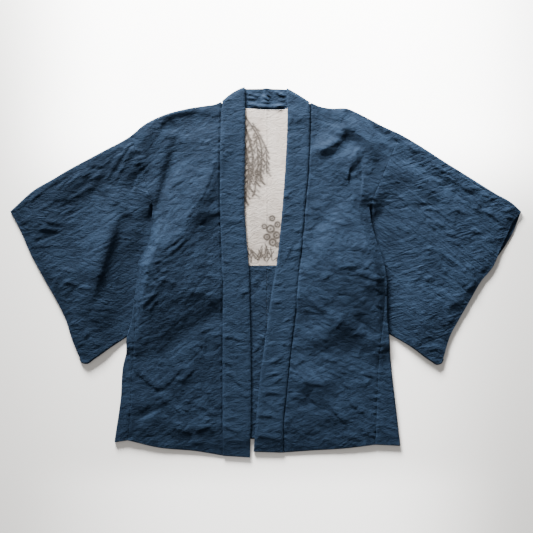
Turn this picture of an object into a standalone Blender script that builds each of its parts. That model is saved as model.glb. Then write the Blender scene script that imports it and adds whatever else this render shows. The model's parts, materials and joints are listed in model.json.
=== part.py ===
"""A haori jacket laid flat with its fronts up, modelled piece by piece as it is cut and sewn.

Tables and sizes are in millimetres and are turned into metres when a mesh is made.
+X runs along the sleeves, +Y towards the collar, +Z up from the surface the jacket lies on.
Left and right are the wearer's: the right sleeve points along -X.
Each piece is worked out as a sheet through the middle of its cloth, and Solidify gives the wall.
"""

from collections import namedtuple

import bmesh
import bpy
import numpy as np

# ---------------------------------------------------------------- driving sizes, millimetres

CLOTH = 1.5            # wall of the lined outer cloth
LINING = 1.0           # wall of the back lining
BAND = 2.5             # wall of the collar, cloth folded on itself
SEAM_GAP = 0.3         # clear space between two pieces at a seam
LAYER_GAP = 0.6        # clear space between two layers lying on each other
ROLL = 2.0             # how far a folded edge rolls out past its two leaves
ROLL_STEPS = 4         # straight facets round half a turn of a folded edge

CENTRE_X = 2.0         # centre-back seam
NECK_Y = 367.0         # neckline at the centre back
BACK_HEM_Y = -375.0    # hem of the back at the centre
BACK_HEM_DROP = 10.0   # and how much lower it is at the sides
BACK_HALF_WIDTH = 320.0
LINING_FOOT_Y = 15.0   # where the turned-up hem cloth meets the lining
FACING_SET_IN = 2.0    # the turned-up cloth stops this far above the hem's edge
GUSSET_CLEAR = 1.0     # how far the gusset's top stays below the free edge above it
UNDERLAP = 24.0        # lining and facing stop this short of the collar seam, under the band

# Heights of the middle of each cloth.
SLEEVE_HOLLOW = 0.5    # clear space inside a sleeve pressed flat
FRONT_HOLLOW = 0.75    # least clear space between front and back
RAISED_HOLLOW = 1.0    # and where the two lie over the sleeve's corner
FLAT = CLOTH / 2       # cloth lying on the surface
SLEEVE_FLAT = FLAT + CLOTH + SLEEVE_HOLLOW
BACK_OVER_SLEEVE = SLEEVE_FLAT + CLOTH + LAYER_GAP
FRONT_OVER_SLEEVE = BACK_OVER_SLEEVE + CLOTH + RAISED_HOLLOW
FRONT_LOW = FLAT + CLOTH + FRONT_HOLLOW
FRONT_REST = 4.6       # front leaf where nothing lifts it
FRONT_PUFF = 1.2       # how loosely it lies over the sleeve's corner
SLEEVE_REST = 5.2      # upper leaf of a sleeve where nothing presses it
LINING_REST = CLOTH + SEAM_GAP + LINING / 2
FACING_REST = CLOTH + SEAM_GAP + CLOTH / 2
COLLAR_UNDER = BAND / 2
COLLAR_REST = 2 * (CLOTH + SEAM_GAP) + BAND / 2
COLLAR_SHARE = 0.7     # the stiffer band takes up this share of the front's folds
HEM_CLEAR = 0.3        # how high the fronts' hem hangs over the surface

# Distances from the sleeve's hidden corner over which the cloth eases from one height to another.
PRESS_NEAR, PRESS_FAR = 20.0, 52.0     # the sleeve is pressed flat under the body
LIFT_NEAR, LIFT_FAR = 20.0, 46.0       # the back is lifted by the sleeve under it
RAISE_NEAR, RAISE_FAR = 26.0, 75.0     # and the front with it
SIDE_LIFT, SIDE_EASE = 3.0, 26.0       # the front comes down to this over the back at its side
SEAM_NEAR, SEAM_FAR = 60.0, 180.0      # the sleeve comes level with the front near the armhole
HEM_NEAR, HEM_FAR = 14.0, 34.0         # the fronts sink past the back's hem
EASE = 1.0                             # how softly a height is kept from going too low

# Steps in which curves and pieces are worked out.
CURVE_STEPS = 400
OUTLINE_STEPS = 300
FOLD_STEPS = 12
FRONT_ROWS = (8, 7, 12)    # down the armhole, the free edge and the gusset seam
BACK_ROWS = (4, 6, 12)
FRONT_COLUMNS = 12
SLEEVE_ROWS = (8, 7)       # down the armhole and the free edge
UNDER_ROWS = (3, 3)
SLEEVE_STOPS = (0, .025, .055, .1, .17, .26, .36, .47, .58, .69, .79, .9, 1)
GUSSET_COLUMNS = 2
BAND_COLUMNS = 4
NECK_STOPS = (0, .35, .7)  # sections of the band between its fold and the neckline's level
INSIDE_ROWS = 6

Point = namedtuple("Point", "x y")
Fold = namedtuple("Fold", "piece x0 y0 x1 y1 x2 y2 rise left right")
Section = namedtuple("Section", "seam_x free_x free_y")
Side = namedtuple("Side", "name turn top armhole apex free gusset_edge gusset_seam cuff under foot"
                          " seam hem band neck_fold neck_bow hidden")


def points(*pairs):
    """A table of points with x and y columns."""
    return [Point(*pair) for pair in pairs]


# ---------------------------------------------------------------- outlines
# One row for each place where an edge changes direction.

RIGHT = Side(
    name="right", turn=-1,
    top=points((-577, 138), (-563, 150), (-521, 186), (-482, 208), (-443, 231), (-367, 272),
               (-304, 307), (-273, 333), (-234, 353), (-173, 370), (-134, 376), (-115, 379),
               (-101, 385)),
    armhole=Point(-304, 307),
    apex=Point(-254, 147),
    free=points((-254, 147), (-266, 62), (-286, 24), (-292, -30), (-297, -62)),
    gusset_edge=points((-298, -64), (-303, -110), (-313, -145), (-316, -186), (-320, -200),
                       (-328, -287), (-342, -382)),
    gusset_seam=points((-292, -64), (-294, -110), (-296, -150), (-298, -183), (-303, -242),
                       (-306, -318), (-311, -378)),
    cuff=points((-577, 138), (-556, 98), (-536, 51), (-504, -10), (-469, -73), (-453, -107),
                (-441, -147), (-421, -196)),
    under=points((-577, 138), (-556, 98), (-536, 51), (-504, -10), (-469, -73), (-453, -107),
                 (-441, -147), (-421, -196)),
    foot=points((-421, -196), (-415, -204), (-403, -206), (-389, -197), (-351, -170),
                (-313, -145), (-228, -90), (-142, -35)),
    seam=points((-101, 382), (-104, 273), (-104, 143), (-101, 51), (-98, -62), (-98, -152),
                (-98, -287), (-97, -413)),
    hem=points((-311, -378), (-245, -394), (-155, -403), (-97, -413)),
    band=points((-47, 366), (-48, 240), (-48, 129), (-42, 51), (-39, 15), (-37, -62), (-35, -152),
                (-34, -287), (-36, -417)),
    neck_fold=points((-97.5, 383.5), (-47.5, 415.3)),
    neck_bow=3.5,
    hidden=points((-254, 147), (-266, 62), (-286, 24), (-292, -30), (-299, -96), (-313, -145),
                  (-142, -35)),
)

LEFT = Side(
    name="left", turn=1,
    top=points((576, 137), (555, 156), (515, 179), (457, 215), (398, 252), (338, 291), (302, 312),
               (263, 330), (235, 345), (207, 359), (187, 368), (142, 370), (119, 375), (101, 383)),
    armhole=Point(302, 312),
    apex=Point(232, 147),
    free=points((232, 147), (238, 107), (244, 84), (264, 24), (271, -12), (271, -50)),
    gusset_edge=points((273, -52), (274, -107), (277, -138), (281, -197), (291, -287),
                       (303, -390)),
    gusset_seam=points((267, -52), (265, -87), (261, -123), (253, -213), (249, -318),
                       (246, -388)),
    cuff=points((576, 137), (560, 118), (546, 88), (532, 58), (512, 12), (486, -20), (462, -62),
                (437, -106), (419, -139), (401, -196)),
    under=points((576, 137), (559, 92), (538, 56), (509, 16), (486, -20), (462, -62), (437, -106),
                 (419, -139), (401, -196)),
    foot=points((401, -196), (396, -205), (385, -208), (371, -200), (327, -168), (276, -138),
                (194, -86), (111, -35)),
    seam=points((101, 380), (98, 276), (94, 208), (89, 156), (81, 62), (76, 17), (68, -75),
                (56, -174), (45, -276), (39, -332), (39, -406)),
    hem=points((246, -388), (182, -396), (92, -402), (39, -406)),
    band=points((49, 366), (47, 298), (41, 197), (28, 51), (24, 19), (14, -39), (0, -141),
                (-15, -253), (-22, -332), (-28, -404)),
    neck_fold=points((97.5, 381), (46, 412.5)),
    neck_bow=1.0,
    hidden=points((232, 147), (238, 107), (244, 84), (264, 24), (271, -12), (271, -50),
                  (274, -107), (276, -138), (111, -35)),
)

# The neckline, and the collar's sections along it from the right fold to the left one: the sewn
# edge follows the neckline, and the free edge lies above it and turns about the fold's tip.
NECKLINE = points((-97.5, 383.5), (-64, 373), (-30, 368.6), (CENTRE_X, NECK_Y), (30, 366.6),
                  (64, 371.4), (97.5, 381))
BEHIND_NECK = [
    Section(-80, -46.6, 414.6), Section(-64, -45.5, 414), Section(-46, -42, 413.6),
    Section(-30, -28, 413.6), Section(-14, -14, 413.8), Section(-7, -7, 414.4),
    Section(0, 0, 414.8), Section(7, 7, 414.4), Section(14, 14, 413.6),
    Section(30, 28, 413.2), Section(46, 41, 412.6), Section(64, 44, 412.2),
    Section(80, 45, 412.2),
]
GATHER_RISE, GATHER_WIDTH = 3.2, 7.0     # the small gather at the collar's centre

# ---------------------------------------------------------------- large folds
# Each fold runs over three points. It rises (or sinks) by rise and dies away over left on its
# left-hand side and over right on its right-hand side, looking along it.

FOLDS = [
    Fold("front", -243, 321, -180, 343, -106, 350, -3.4, 22, 22),
    Fold("front", -218, 350, -239, 309, -268, 254, -3.0, 16, 16),
    Fold("front", -189, 318, -221, 253, -257, 132, 4.6, 60, 13),
    Fold("front", -113, 290, -147, 174, -292, 18, 6.5, 26, 85),
    Fold("front", -178, 124, -115, 134, -30, 133, 3.4, 40, 18),
    Fold("front", -285, 20, -194, -30, -100, -60, 8.5, 60, 80),
    Fold("front", -300, -200, -257, -240, -222, -270, 2.6, 26, 14),
    Fold("front", -222, -270, -190, -245, -150, -205, 2.2, 26, 16),
    Fold("front", -325, -318, -261, -294, -206, -272, 3.2, 30, 20),
    Fold("front", -215, -360, -170, -350, -120, -352, 2.4, 24, 22),
    Fold("sleeve", -324, 162, -362, 24, -409, -104, 5.5, 12, 70),
    Fold("sleeve", -316, 148, -351, 24, -398, -98, -3.4, 28, 10),
    Fold("sleeve", -360, 156, -324, 158, -286, 130, 3.0, 30, 16),
    Fold("sleeve", -278, 278, -374, 217, -485, 146, -3.2, 22, 26),
    Fold("sleeve", -545, 112, -497, 116, -446, 134, 3.0, 32, 28),
    Fold("sleeve", -440, -72, -385, -75, -320, -60, 2.8, 40, 30),
    Fold("front", 110, 254, 180, 298, 250, 254, -6.5, 20, 22),
    Fold("front", 187, 376, 187, 339, 181, 292, -2.8, 16, 16),
    Fold("front", 190, 376, 243, 316, 283, 250, 3.4, 16, 18),
    Fold("front", 204, 366, 248, 336, 298, 300, -3.0, 14, 14),
    Fold("front", 197, 282, 214, 197, 238, 108, 5.6, 13, 62),
    Fold("front", 88, 44, 178, 24, 278, 40, 5.5, 60, 60),
    Fold("front", 200, -48, 133, -89, 70, -146, 3.6, 28, 40),
    Fold("front", 196, -64, 214, -106, 262, -126, -2.6, 14, 14),
    Fold("front", 50, -246, 110, -242, 168, -262, 3.4, 30, 28),
    Fold("front", 60, -218, 126, -282, 190, -346, 2.2, 20, 20),
    Fold("front", 45, 352, 77, 349, 100, 358, 2.2, 14, 16),
    Fold("sleeve", 330, 130, 369, 152, 408, 152, -2.8, 14, 14),
    Fold("sleeve", 270, -60, 329, -75, 376, -114, 3.0, 40, 30),
    Fold("sleeve", 296, 258, 391, 174, 476, 66, 2.6, 18, 22),
    Fold("sleeve", 330, 112, 425, 24, 482, -46, 2.6, 18, 22),
    Fold("sleeve", 262, 313, 369, 242, 510, 148, -2.6, 16, 16),
]

# ---------------------------------------------------------------- curves in plan


def even(count):
    """Fractions that part a length into count equal steps."""
    return np.linspace(0, 1, count + 1)


def smooth_step(value):
    """Zero below 0, one above 1 and an even slope between."""
    held = np.clip(value, 0.0, 1.0)
    return held * held * (3 - 2 * held)


def lengths(curve):
    """Length of a polyline up to each of its points."""
    return np.concatenate([[0], np.cumsum(np.hypot(*np.diff(curve[:, :2], axis=0).T))])


def trace(table, stops):
    """Points at the given fractions of the length of a smooth curve through a table."""
    knots = np.array(table, float)
    span = lengths(knots)
    slope = np.gradient(knots, span, axis=0, edge_order=1)
    fine = np.linspace(0, span[-1], CURVE_STEPS)
    start = np.clip(np.searchsorted(span, fine, side="right") - 1, 0, len(span) - 2)
    size = (span[start + 1] - span[start])[:, None]
    t = (fine - span[start])[:, None] / size
    curve = ((1 + 2 * t) * (1 - t) ** 2 * knots[start] + t * (1 - t) ** 2 * size * slope[start]
             + t * t * (3 - 2 * t) * knots[start + 1] + t * t * (t - 1) * size * slope[start + 1])
    return resample(curve, stops)


def resample(curve, stops):
    """Points at fractions of a polyline's own length."""
    along = lengths(curve)
    wanted = np.asarray(stops) * along[-1]
    return np.column_stack([np.interp(wanted, along, column) for column in curve.T])


def shares(curve):
    """How far along a polyline each of its points lies, from 0 to 1."""
    along = lengths(curve)
    return along / along[-1]


def outward_of(curve, inside):
    """Unit directions square to a curve, pointing away from a point inside the piece."""
    run = np.gradient(curve, axis=0)
    square = np.column_stack([-run[:, 1], run[:, 0]])
    square /= np.hypot(*square.T)[:, None]
    middle = len(curve) // 2
    facing = np.dot(square[middle], curve[middle] - np.asarray(inside))
    return square if facing > 0 else -square


def pin(curve, start, end):
    """The same curve, eased over so that it starts and ends at two given points."""
    share = np.linspace(0, 1, len(curve))[:, None]
    return curve + (1 - share) * (start - curve[0]) + share * (end - curve[-1])


def fill(top, foot, left, right, across, down):
    """Rows of points between four edges: top and foot run across, left and right run down."""
    u = np.asarray(across)[None, :, None]
    v = np.asarray(down)[:, None, None]
    corners = ((1 - u) * (1 - v) * top[0] + u * (1 - v) * top[-1]
               + (1 - u) * v * foot[0] + u * v * foot[-1])
    return ((1 - u) * left[:, None] + u * right[:, None]
            + (1 - v) * top[None] + v * foot[None] - corners)


def distance_to(path, x, y):
    """Distance of points from a polyline."""
    corners = np.array(path, float)
    spots = np.column_stack([np.ravel(x), np.ravel(y)])
    nearest = np.full(len(spots), np.inf)
    for a, b in zip(corners, corners[1:]):
        edge = b - a
        t = np.clip((spots - a) @ edge / (edge @ edge), 0, 1)
        nearest = np.minimum(nearest, np.hypot(*(spots - a - t[:, None] * edge).T))
    return nearest.reshape(np.shape(x))


def far_from(outline, x, y):
    """Distance of points from a closed outline, zero inside it."""
    inside = np.zeros(np.shape(x), bool)
    for a, b in zip(outline, [*outline[1:], outline[0]]):
        if a.y != b.y:
            cut = a.x + (y - a.y) / (b.y - a.y) * (b.x - a.x)
            inside ^= ((a.y > y) != (b.y > y)) & (x < cut)
    return np.where(inside, 0.0, distance_to([*outline, outline[0]], x, y))


# ---------------------------------------------------------------- heights


def fold_height(fold, x, y):
    """Rise of one fold at the given places: highest along its middle, gone at its ends."""
    start, middle, end = np.array(fold[1:7], float).reshape(3, 2)
    bend = 2 * middle - (start + end) / 2
    t = even(FOLD_STEPS)[:, None]
    path = (1 - t) ** 2 * start + 2 * t * (1 - t) * bend + t * t * end
    spots = np.column_stack([np.ravel(x), np.ravel(y)])
    best = np.full(len(spots), np.inf)
    side = np.zeros(len(spots))
    place = np.zeros(len(spots))
    for number, (a, b) in enumerate(zip(path, path[1:])):
        run = b - a
        share = np.clip((spots - a) @ run / (run @ run), 0, 1)
        off = spots - a - share[:, None] * run
        distance = np.hypot(*off.T)
        closer = distance < best
        best = np.where(closer, distance, best)
        side = np.where(closer, run[0] * off[:, 1] - run[1] * off[:, 0], side)
        place = np.where(closer, (number + share) / (len(path) - 1), place)
    width = np.where(side > 0, fold.left, fold.right)
    height = fold.rise * np.exp(-(best / width) ** 2) * (4 * place * (1 - place)) ** 0.7
    return height.reshape(np.shape(x))


def folds_on(piece, x, y):
    """All the folds of one kind of piece together."""
    return sum(fold_height(fold, x, y) for fold in FOLDS if fold.piece == piece)


def keep_above(height, low):
    """Ease a height off so that it never comes below low."""
    over = height - low
    return low + (over + np.sqrt(over * over + EASE)) / 2


def near_hidden(side, x, y, near, far):
    """One over the part of the sleeve that lies under the body, fading to zero round it."""
    return 1 - smooth_step((far_from(side.hidden, x, y) - near) / (far - near))


def back_height(side, x, y):
    """Middle of the back cloth: flat, but lifted where the sleeve's inner corner lies under it."""
    return FLAT + (BACK_OVER_SLEEVE - FLAT) * near_hidden(side, x, y, LIFT_NEAR, LIFT_FAR)


def back_hem(x):
    """The back's hem: straight at the centre and a little lower at the sides."""
    return BACK_HEM_Y - BACK_HEM_DROP * (np.abs(x) / BACK_HALF_WIDTH) ** 2


def past_hem(x, y):
    """One where the fronts hang past the back's hem and sink to the surface."""
    return smooth_step((back_hem(x) - y - HEM_NEAR) / (HEM_FAR - HEM_NEAR))


def front_height(side, x, y):
    """Middle of the front cloth, over the back and over the sleeve's hidden corner."""
    raised = near_hidden(side, x, y, RAISE_NEAR, RAISE_FAR)
    rest = FRONT_REST + (FRONT_OVER_SLEEVE + FRONT_PUFF - FRONT_REST) * raised
    low = FRONT_LOW + (FRONT_OVER_SLEEVE - FRONT_LOW) * raised
    height = keep_above(rest + folds_on("front", x, y), low)
    at_side = back_height(side, x, y) + SIDE_LIFT
    side_edge = [*side.free, *side.gusset_edge]
    height = at_side + (height - at_side) * smooth_step(distance_to(side_edge, x, y) / SIDE_EASE)
    return height + (FLAT + HEM_CLEAR - height) * past_hem(x, y)


def sleeve_height(side, x, y):
    """Middle of the sleeve's upper leaf, pressed flat where the body lies on it."""
    from_seam = np.hypot(x - side.armhole.x, y - side.armhole.y)
    meets_front = 1 - smooth_step((from_seam - SEAM_NEAR) / (SEAM_FAR - SEAM_NEAR))
    rest = SLEEVE_REST + (FRONT_REST - SLEEVE_REST) * meets_front
    loose = keep_above(rest + folds_on("sleeve", x, y) + folds_on("front", x, y), SLEEVE_FLAT)
    pressed = near_hidden(side, x, y, PRESS_NEAR, PRESS_FAR)
    return loose + (SLEEVE_FLAT - loose) * pressed


def collar_height(x, y):
    """Middle of the collar bands where they lie down the fronts."""
    rest = COLLAR_REST + SEAM_GAP + COLLAR_SHARE * folds_on("front", x, y)
    height = keep_above(rest, COLLAR_REST)
    return height + (BAND / 2 + HEM_CLEAR - height) * past_hem(x, y)


# ---------------------------------------------------------------- sheets of cloth


def lay(plan, height):
    """A plan of points and their heights as one grid of places."""
    return np.concatenate([plan, np.broadcast_to(height, plan.shape[:-1])[..., None]], axis=-1)


def roll(lower, upper, outward):
    """Half a turn of cloth from the edge of a lower leaf round to the edge lying over it."""
    turns = []
    for angle in np.linspace(0, np.pi, ROLL_STEPS + 1):
        ring = lower + (1 - np.cos(angle)) / 2 * (upper - lower)
        ring[:, :2] += outward * ROLL * np.sin(angle)
        turns.append(ring)
    return np.array(turns)


def add_piece(name, grids, wall, material):
    """One closed piece of cloth from grids that meet along their edges."""
    mesh = bpy.data.meshes.new(name)
    shape = bmesh.new()
    for grid in grids:
        rows = [[shape.verts.new(tuple(spot / 1000)) for spot in row] for row in grid]
        for upper, lower in zip(rows, rows[1:]):
            for a, b, c, d in zip(upper, upper[1:], lower[1:], lower):
                shape.faces.new((a, b, c, d))
    bmesh.ops.remove_doubles(shape, verts=shape.verts, dist=0.00002)
    bmesh.ops.recalc_face_normals(shape, faces=shape.faces)
    shape.to_mesh(mesh)
    shape.free()
    mesh.materials.append(material)
    mesh.shade_smooth()
    piece = bpy.data.objects.new(name, mesh)
    bpy.context.collection.objects.link(piece)
    thick = piece.modifiers.new("wall", "SOLIDIFY")
    thick.thickness = wall / 1000
    thick.offset = 0
    return piece


def finish(name, colour, roughness):
    """A plain cloth material."""
    material = bpy.data.materials.new(name)
    material.use_nodes = True
    shader = material.node_tree.nodes["Principled BSDF"]
    shader.inputs["Base Color"].default_value = (*colour, 1)
    shader.inputs["Roughness"].default_value = roughness
    return material


# ---------------------------------------------------------------- edges that pieces share


def top_fold(side):
    """The fold along the sleeve and shoulder, set in by its roll, parted at the armhole."""
    outline = trace(side.top, even(OUTLINE_STEPS))
    outward = outward_of(outline, (0, 0))
    leaf = outline - outward * (ROLL + CLOTH / 2)
    parting = np.argmin(np.hypot(*(outline - side.armhole).T))
    return leaf, outward, parting


def body_edge(side, at_armhole, at_free, at_gusset):
    """The body's outer edge: armhole seam, then free over the sleeve, then the gusset seam."""
    leaf, _, parting = top_fold(side)
    armhole = trace([leaf[parting], side.apex], even(at_armhole))
    free = trace(side.free, even(at_free))
    gusset = trace(side.gusset_seam, even(at_gusset))
    return np.vstack([armhole, free[1:], gusset])


def collar_seam(side):
    """The seam between front and collar, with a point level with each row of the front."""
    stops = shares(body_edge(side, *FRONT_ROWS))
    seam = trace(side.seam, stops)
    leaf, _, _ = top_fold(side)
    return pin(seam, leaf[-1], seam[-1])


def half_neckline(side):
    """The neckline's places between the shoulder and the centre back, on one side."""
    inner = [spot for spot in NECKLINE[1:-1] if (spot.x - CENTRE_X) * side.turn > 0]
    return inner[::-side.turn]


# ---------------------------------------------------------------- pieces


def make_body(side, material):
    """Front and back of one side, in one length of cloth over the shoulder."""
    towards_centre = np.array([-side.turn * SEAM_GAP / 2, 0])
    leaf, outward, parting = top_fold(side)
    across = even(FRONT_COLUMNS)
    shoulder = resample(leaf[parting:], across)
    facing_out = resample(np.column_stack([leaf, outward])[parting:], across)[:, 2:]
    shoulder = pin(shoulder, shoulder[0] + towards_centre, shoulder[-1] - towards_centre)

    outer = body_edge(side, *FRONT_ROWS) + towards_centre
    inner = collar_seam(side) - towards_centre
    hem = pin(trace(side.hem, across), outer[-1], inner[-1])
    plan = fill(shoulder, hem, outer, inner, across, shares(outer))
    front = lay(plan, front_height(side, plan[..., 0], plan[..., 1]))

    outer_back = body_edge(side, *BACK_ROWS) + towards_centre
    down = shares(outer_back)
    foot_x = inner[-1][0]
    under_seam = trace([shoulder[-1], (foot_x, back_hem(foot_x))], down)
    foot_line = np.linspace(outer_back[-1], under_seam[-1], FRONT_COLUMNS + 1)
    plan = fill(shoulder, foot_line, outer_back, under_seam, across, down)
    back = lay(plan, back_height(side, plan[..., 0], plan[..., 1]))

    centre = CENTRE_X + side.turn * SEAM_GAP / 2
    neck = np.array([shoulder[-1], *half_neckline(side), (centre, NECK_Y)])
    neck[1:, 1] -= SEAM_GAP / 2
    middle = trace([neck[-1], (centre, BACK_HEM_Y)], down)
    foot_line = np.linspace(under_seam[-1], middle[-1], len(neck))
    plan = fill(neck, foot_line, under_seam, middle, even(len(neck) - 1), down)
    back_middle = lay(plan, back_height(side, plan[..., 0], plan[..., 1]))

    over_shoulder = roll(back[0], front[0], facing_out)
    sheets = [front, back, back_middle, over_shoulder]
    return add_piece(f"body_{side.name}", sheets, CLOTH, material)


def make_sleeve(side, material):
    """A flat tube folded along its top, with its inner corner under the body."""
    outwards = np.array([side.turn * SEAM_GAP / 2, 0])
    leaf, outward, parting = top_fold(side)
    top = resample(leaf[:parting + 1], SLEEVE_STOPS)
    top_out = resample(np.column_stack([leaf, outward])[:parting + 1], SLEEVE_STOPS)[:, 2:]
    bottom_line = trace(side.foot, SLEEVE_STOPS)
    bottom_out = outward_of(bottom_line, side.apex)
    bottom = bottom_line - bottom_out * (ROLL + CLOTH / 2)

    leaves = []
    for cuff_table, rows in ((side.cuff, SLEEVE_ROWS), (side.under, UNDER_ROWS)):
        seam_steps, loose_steps = rows
        seam = trace([leaf[parting], side.apex], even(seam_steps))
        loose = np.linspace(side.apex, bottom[-1] - outwards, loose_steps + 1)
        inner = np.vstack([seam, loose[1:]]) + outwards
        down = shares(inner)
        top[-1] = inner[0]
        cuff = pin(trace(cuff_table, down), top[0], bottom[0])
        plan = fill(top, bottom, cuff, inner, SLEEVE_STOPS, down)
        leaves.append(plan)
    front = lay(leaves[0], sleeve_height(side, leaves[0][..., 0], leaves[0][..., 1]))
    back = lay(leaves[1], FLAT)
    over_top = roll(back[0], front[0], top_out)
    under_foot = roll(back[-1], front[-1], bottom_out)
    return add_piece(f"sleeve_{side.name}", [front, back, over_top, under_foot], CLOTH, material)


def make_gusset(side, material):
    """The narrow strip between front and back, folded along the jacket's side."""
    steps = even(FRONT_ROWS[-1])
    seam = trace(side.gusset_seam, steps) + (side.turn * SEAM_GAP / 2, 0)
    edge_line = trace(side.gusset_edge, steps)
    for line in (seam, edge_line):
        line[0, 1] -= GUSSET_CLEAR
    outward = outward_of(edge_line, (0, edge_line[len(edge_line) // 2, 1]))
    edge = edge_line - outward * (ROLL + CLOTH / 2)
    share = even(GUSSET_COLUMNS)[None, :, None]
    plan = seam[:, None] * (1 - share) + edge[:, None] * share
    x, y = plan[..., 0], plan[..., 1]
    back = lay(plan, back_height(side, x, y))
    front = lay(plan, front_height(side, x, y))
    side_fold = roll(back[:, -1], front[:, -1], outward)
    return add_piece(f"gusset_{side.name}", [front, back, side_fold], CLOTH, material)


def band_sections(side):
    """The collar's sections down one front, from the fold at the neck to the hem."""
    sewn = collar_seam(side) - (side.turn * SEAM_GAP / 2, 0)
    free_edge = trace(side.band, even(OUTLINE_STEPS))
    fold_seam, fold_free = (np.array(p) for p in side.neck_fold)
    level = side.band[0].y
    sections = []
    for share in NECK_STOPS:
        seam_spot = fold_seam + share * (np.array([sewn[1][0], level]) - fold_seam)
        free_spot = fold_free + share * (np.array([side.band[0].x, level]) - fold_free)
        sections.append((seam_spot, free_spot))
    hem = free_edge[-1][1]
    for spot in sewn[1:]:
        share = (level - spot[1]) / (level - sewn[-1][1])
        free_y = min(level, level - share * (level - hem))
        free_x = np.interp(-free_y, -free_edge[:, 1], free_edge[:, 0])
        sections.append((spot, (free_x, free_y)))
    return np.array(sections)


def make_collar(material):
    """One long band, turned over at each shoulder to pass behind the neck."""
    share = even(BAND_COLUMNS)[None, :, None]
    bulge = 4 * share[0] * (1 - share[0])

    def plan_of(sections):
        return sections[:, :1] * (1 - share) + sections[:, 1:] * share

    grids = []
    folds = {}
    outwards = {}
    for side in (RIGHT, LEFT):
        seam_spot, free_spot = (np.array(spot) for spot in side.neck_fold)
        along = (free_spot - seam_spot) / np.hypot(*(free_spot - seam_spot))
        outwards[side.name] = np.array([-along[1], along[0]]) * -side.turn
        plan = plan_of(band_sections(side))
        plan[0] += side.neck_bow * bulge * outwards[side.name]
        band = lay(plan, collar_height(plan[..., 0], plan[..., 1]))
        band[0, :, 2] = COLLAR_REST
        folds[side.name] = band[0]
        grids.append(band)

    neck_x, neck_y = np.array(NECKLINE).T
    sections = [[(row.seam_x, np.interp(row.seam_x, neck_x, neck_y) + SEAM_GAP / 2),
                 (row.free_x, row.free_y)] for row in BEHIND_NECK]
    sections = [RIGHT.neck_fold, *sections, LEFT.neck_fold]
    plan = plan_of(np.array(sections, float))
    for row, side in ((0, RIGHT), (-1, LEFT)):
        plan[row] += side.neck_bow * bulge * outwards[side.name]
    gather = GATHER_RISE * np.exp(-(plan[..., 0] / GATHER_WIDTH) ** 2) * share[..., 0]
    behind = lay(plan, COLLAR_UNDER + gather)
    grids.append(behind)
    for under, side in ((behind[0], RIGHT), (behind[-1], LEFT)):
        grids.append(roll(under, folds[side.name], outwards[side.name]))
    return add_piece("collar", grids, BAND, material)


def under_band(side, y):
    """Where the lining and facing end under the collar band at a given level."""
    seam = trace(side.seam, even(OUTLINE_STEPS))
    return np.interp(-y, -seam[:, 1], seam[:, 0]) - side.turn * UNDERLAP


def make_inside(side, name, top, foot, wall, height, material):
    """Lining or facing of one half of the back, from a top edge to a foot edge."""
    start, end = top[0].x, top[-1].x
    rows = []
    for share in even(INSIDE_ROWS):
        outer_x = under_band(side, top[0].y + share * (foot - top[0].y))
        rows.append([(outer_x + (spot.x - start) / (end - start) * (end - outer_x),
                      spot.y + share * (foot - spot.y)) for spot in top])
    return add_piece(name, [lay(np.array(rows), height)], wall, material)


def make_lining(side, material):
    """Half of the back lining, where it shows between the collar bands."""
    neck_x, neck_y = np.array(NECKLINE).T
    columns = [under_band(side, NECK_Y), *(spot.x for spot in half_neckline(side)),
               CENTRE_X + side.turn * SEAM_GAP / 2]
    top = [Point(x, np.interp(x, neck_x, neck_y) - SEAM_GAP) for x in columns]
    return make_inside(side, f"lining_{side.name}", top, LINING_FOOT_Y + SEAM_GAP / 2, LINING,
                       LINING_REST, material)


def make_facing(side, material):
    """Half of the body cloth turned up inside the back, below the lining."""
    level = LINING_FOOT_Y - SEAM_GAP / 2
    outer_x = under_band(side, level)
    centre = CENTRE_X + side.turn * SEAM_GAP / 2
    top = points((outer_x, level), ((outer_x + centre) / 2, level), (centre, level))
    return make_inside(side, f"hem_facing_{side.name}", top, BACK_HEM_Y + FACING_SET_IN, CLOTH,
                       FACING_REST, material)


def main():
    """Clear the scene and make every piece."""
    for old in list(bpy.data.objects):
        bpy.data.objects.remove(old)
    navy = finish("navy_cloth", (0.033, 0.058, 0.105), 0.8)
    pale = finish("pale_lining", (0.45, 0.42, 0.39), 0.6)
    for side in (RIGHT, LEFT):
        make_body(side, navy)
        make_sleeve(side, navy)
        make_gusset(side, navy)
        make_lining(side, pale)
        make_facing(side, navy)
    make_collar(navy)


main()
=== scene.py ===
# %% [markdown]
# # A haori jacket laid flat
# A haori is a short open jacket worn over a kimono. It is cut from narrow straight lengths of
# cloth: two body lengths that run over the shoulders, two wide sleeves, a narrow gusset down each
# side, and one long collar band that goes round the neck and down both fronts to the hem. This one
# is navy, crinkled and softly creased, with a pale lining inside the back.
#
# The solids of the jacket are loaded first as a fixed frame. Each piece of cloth is then made again
# as a fine, thin shell on the form of its solid, with the creases that solids are too coarse for.

# %% Load the frame
import json
from collections import namedtuple

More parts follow.
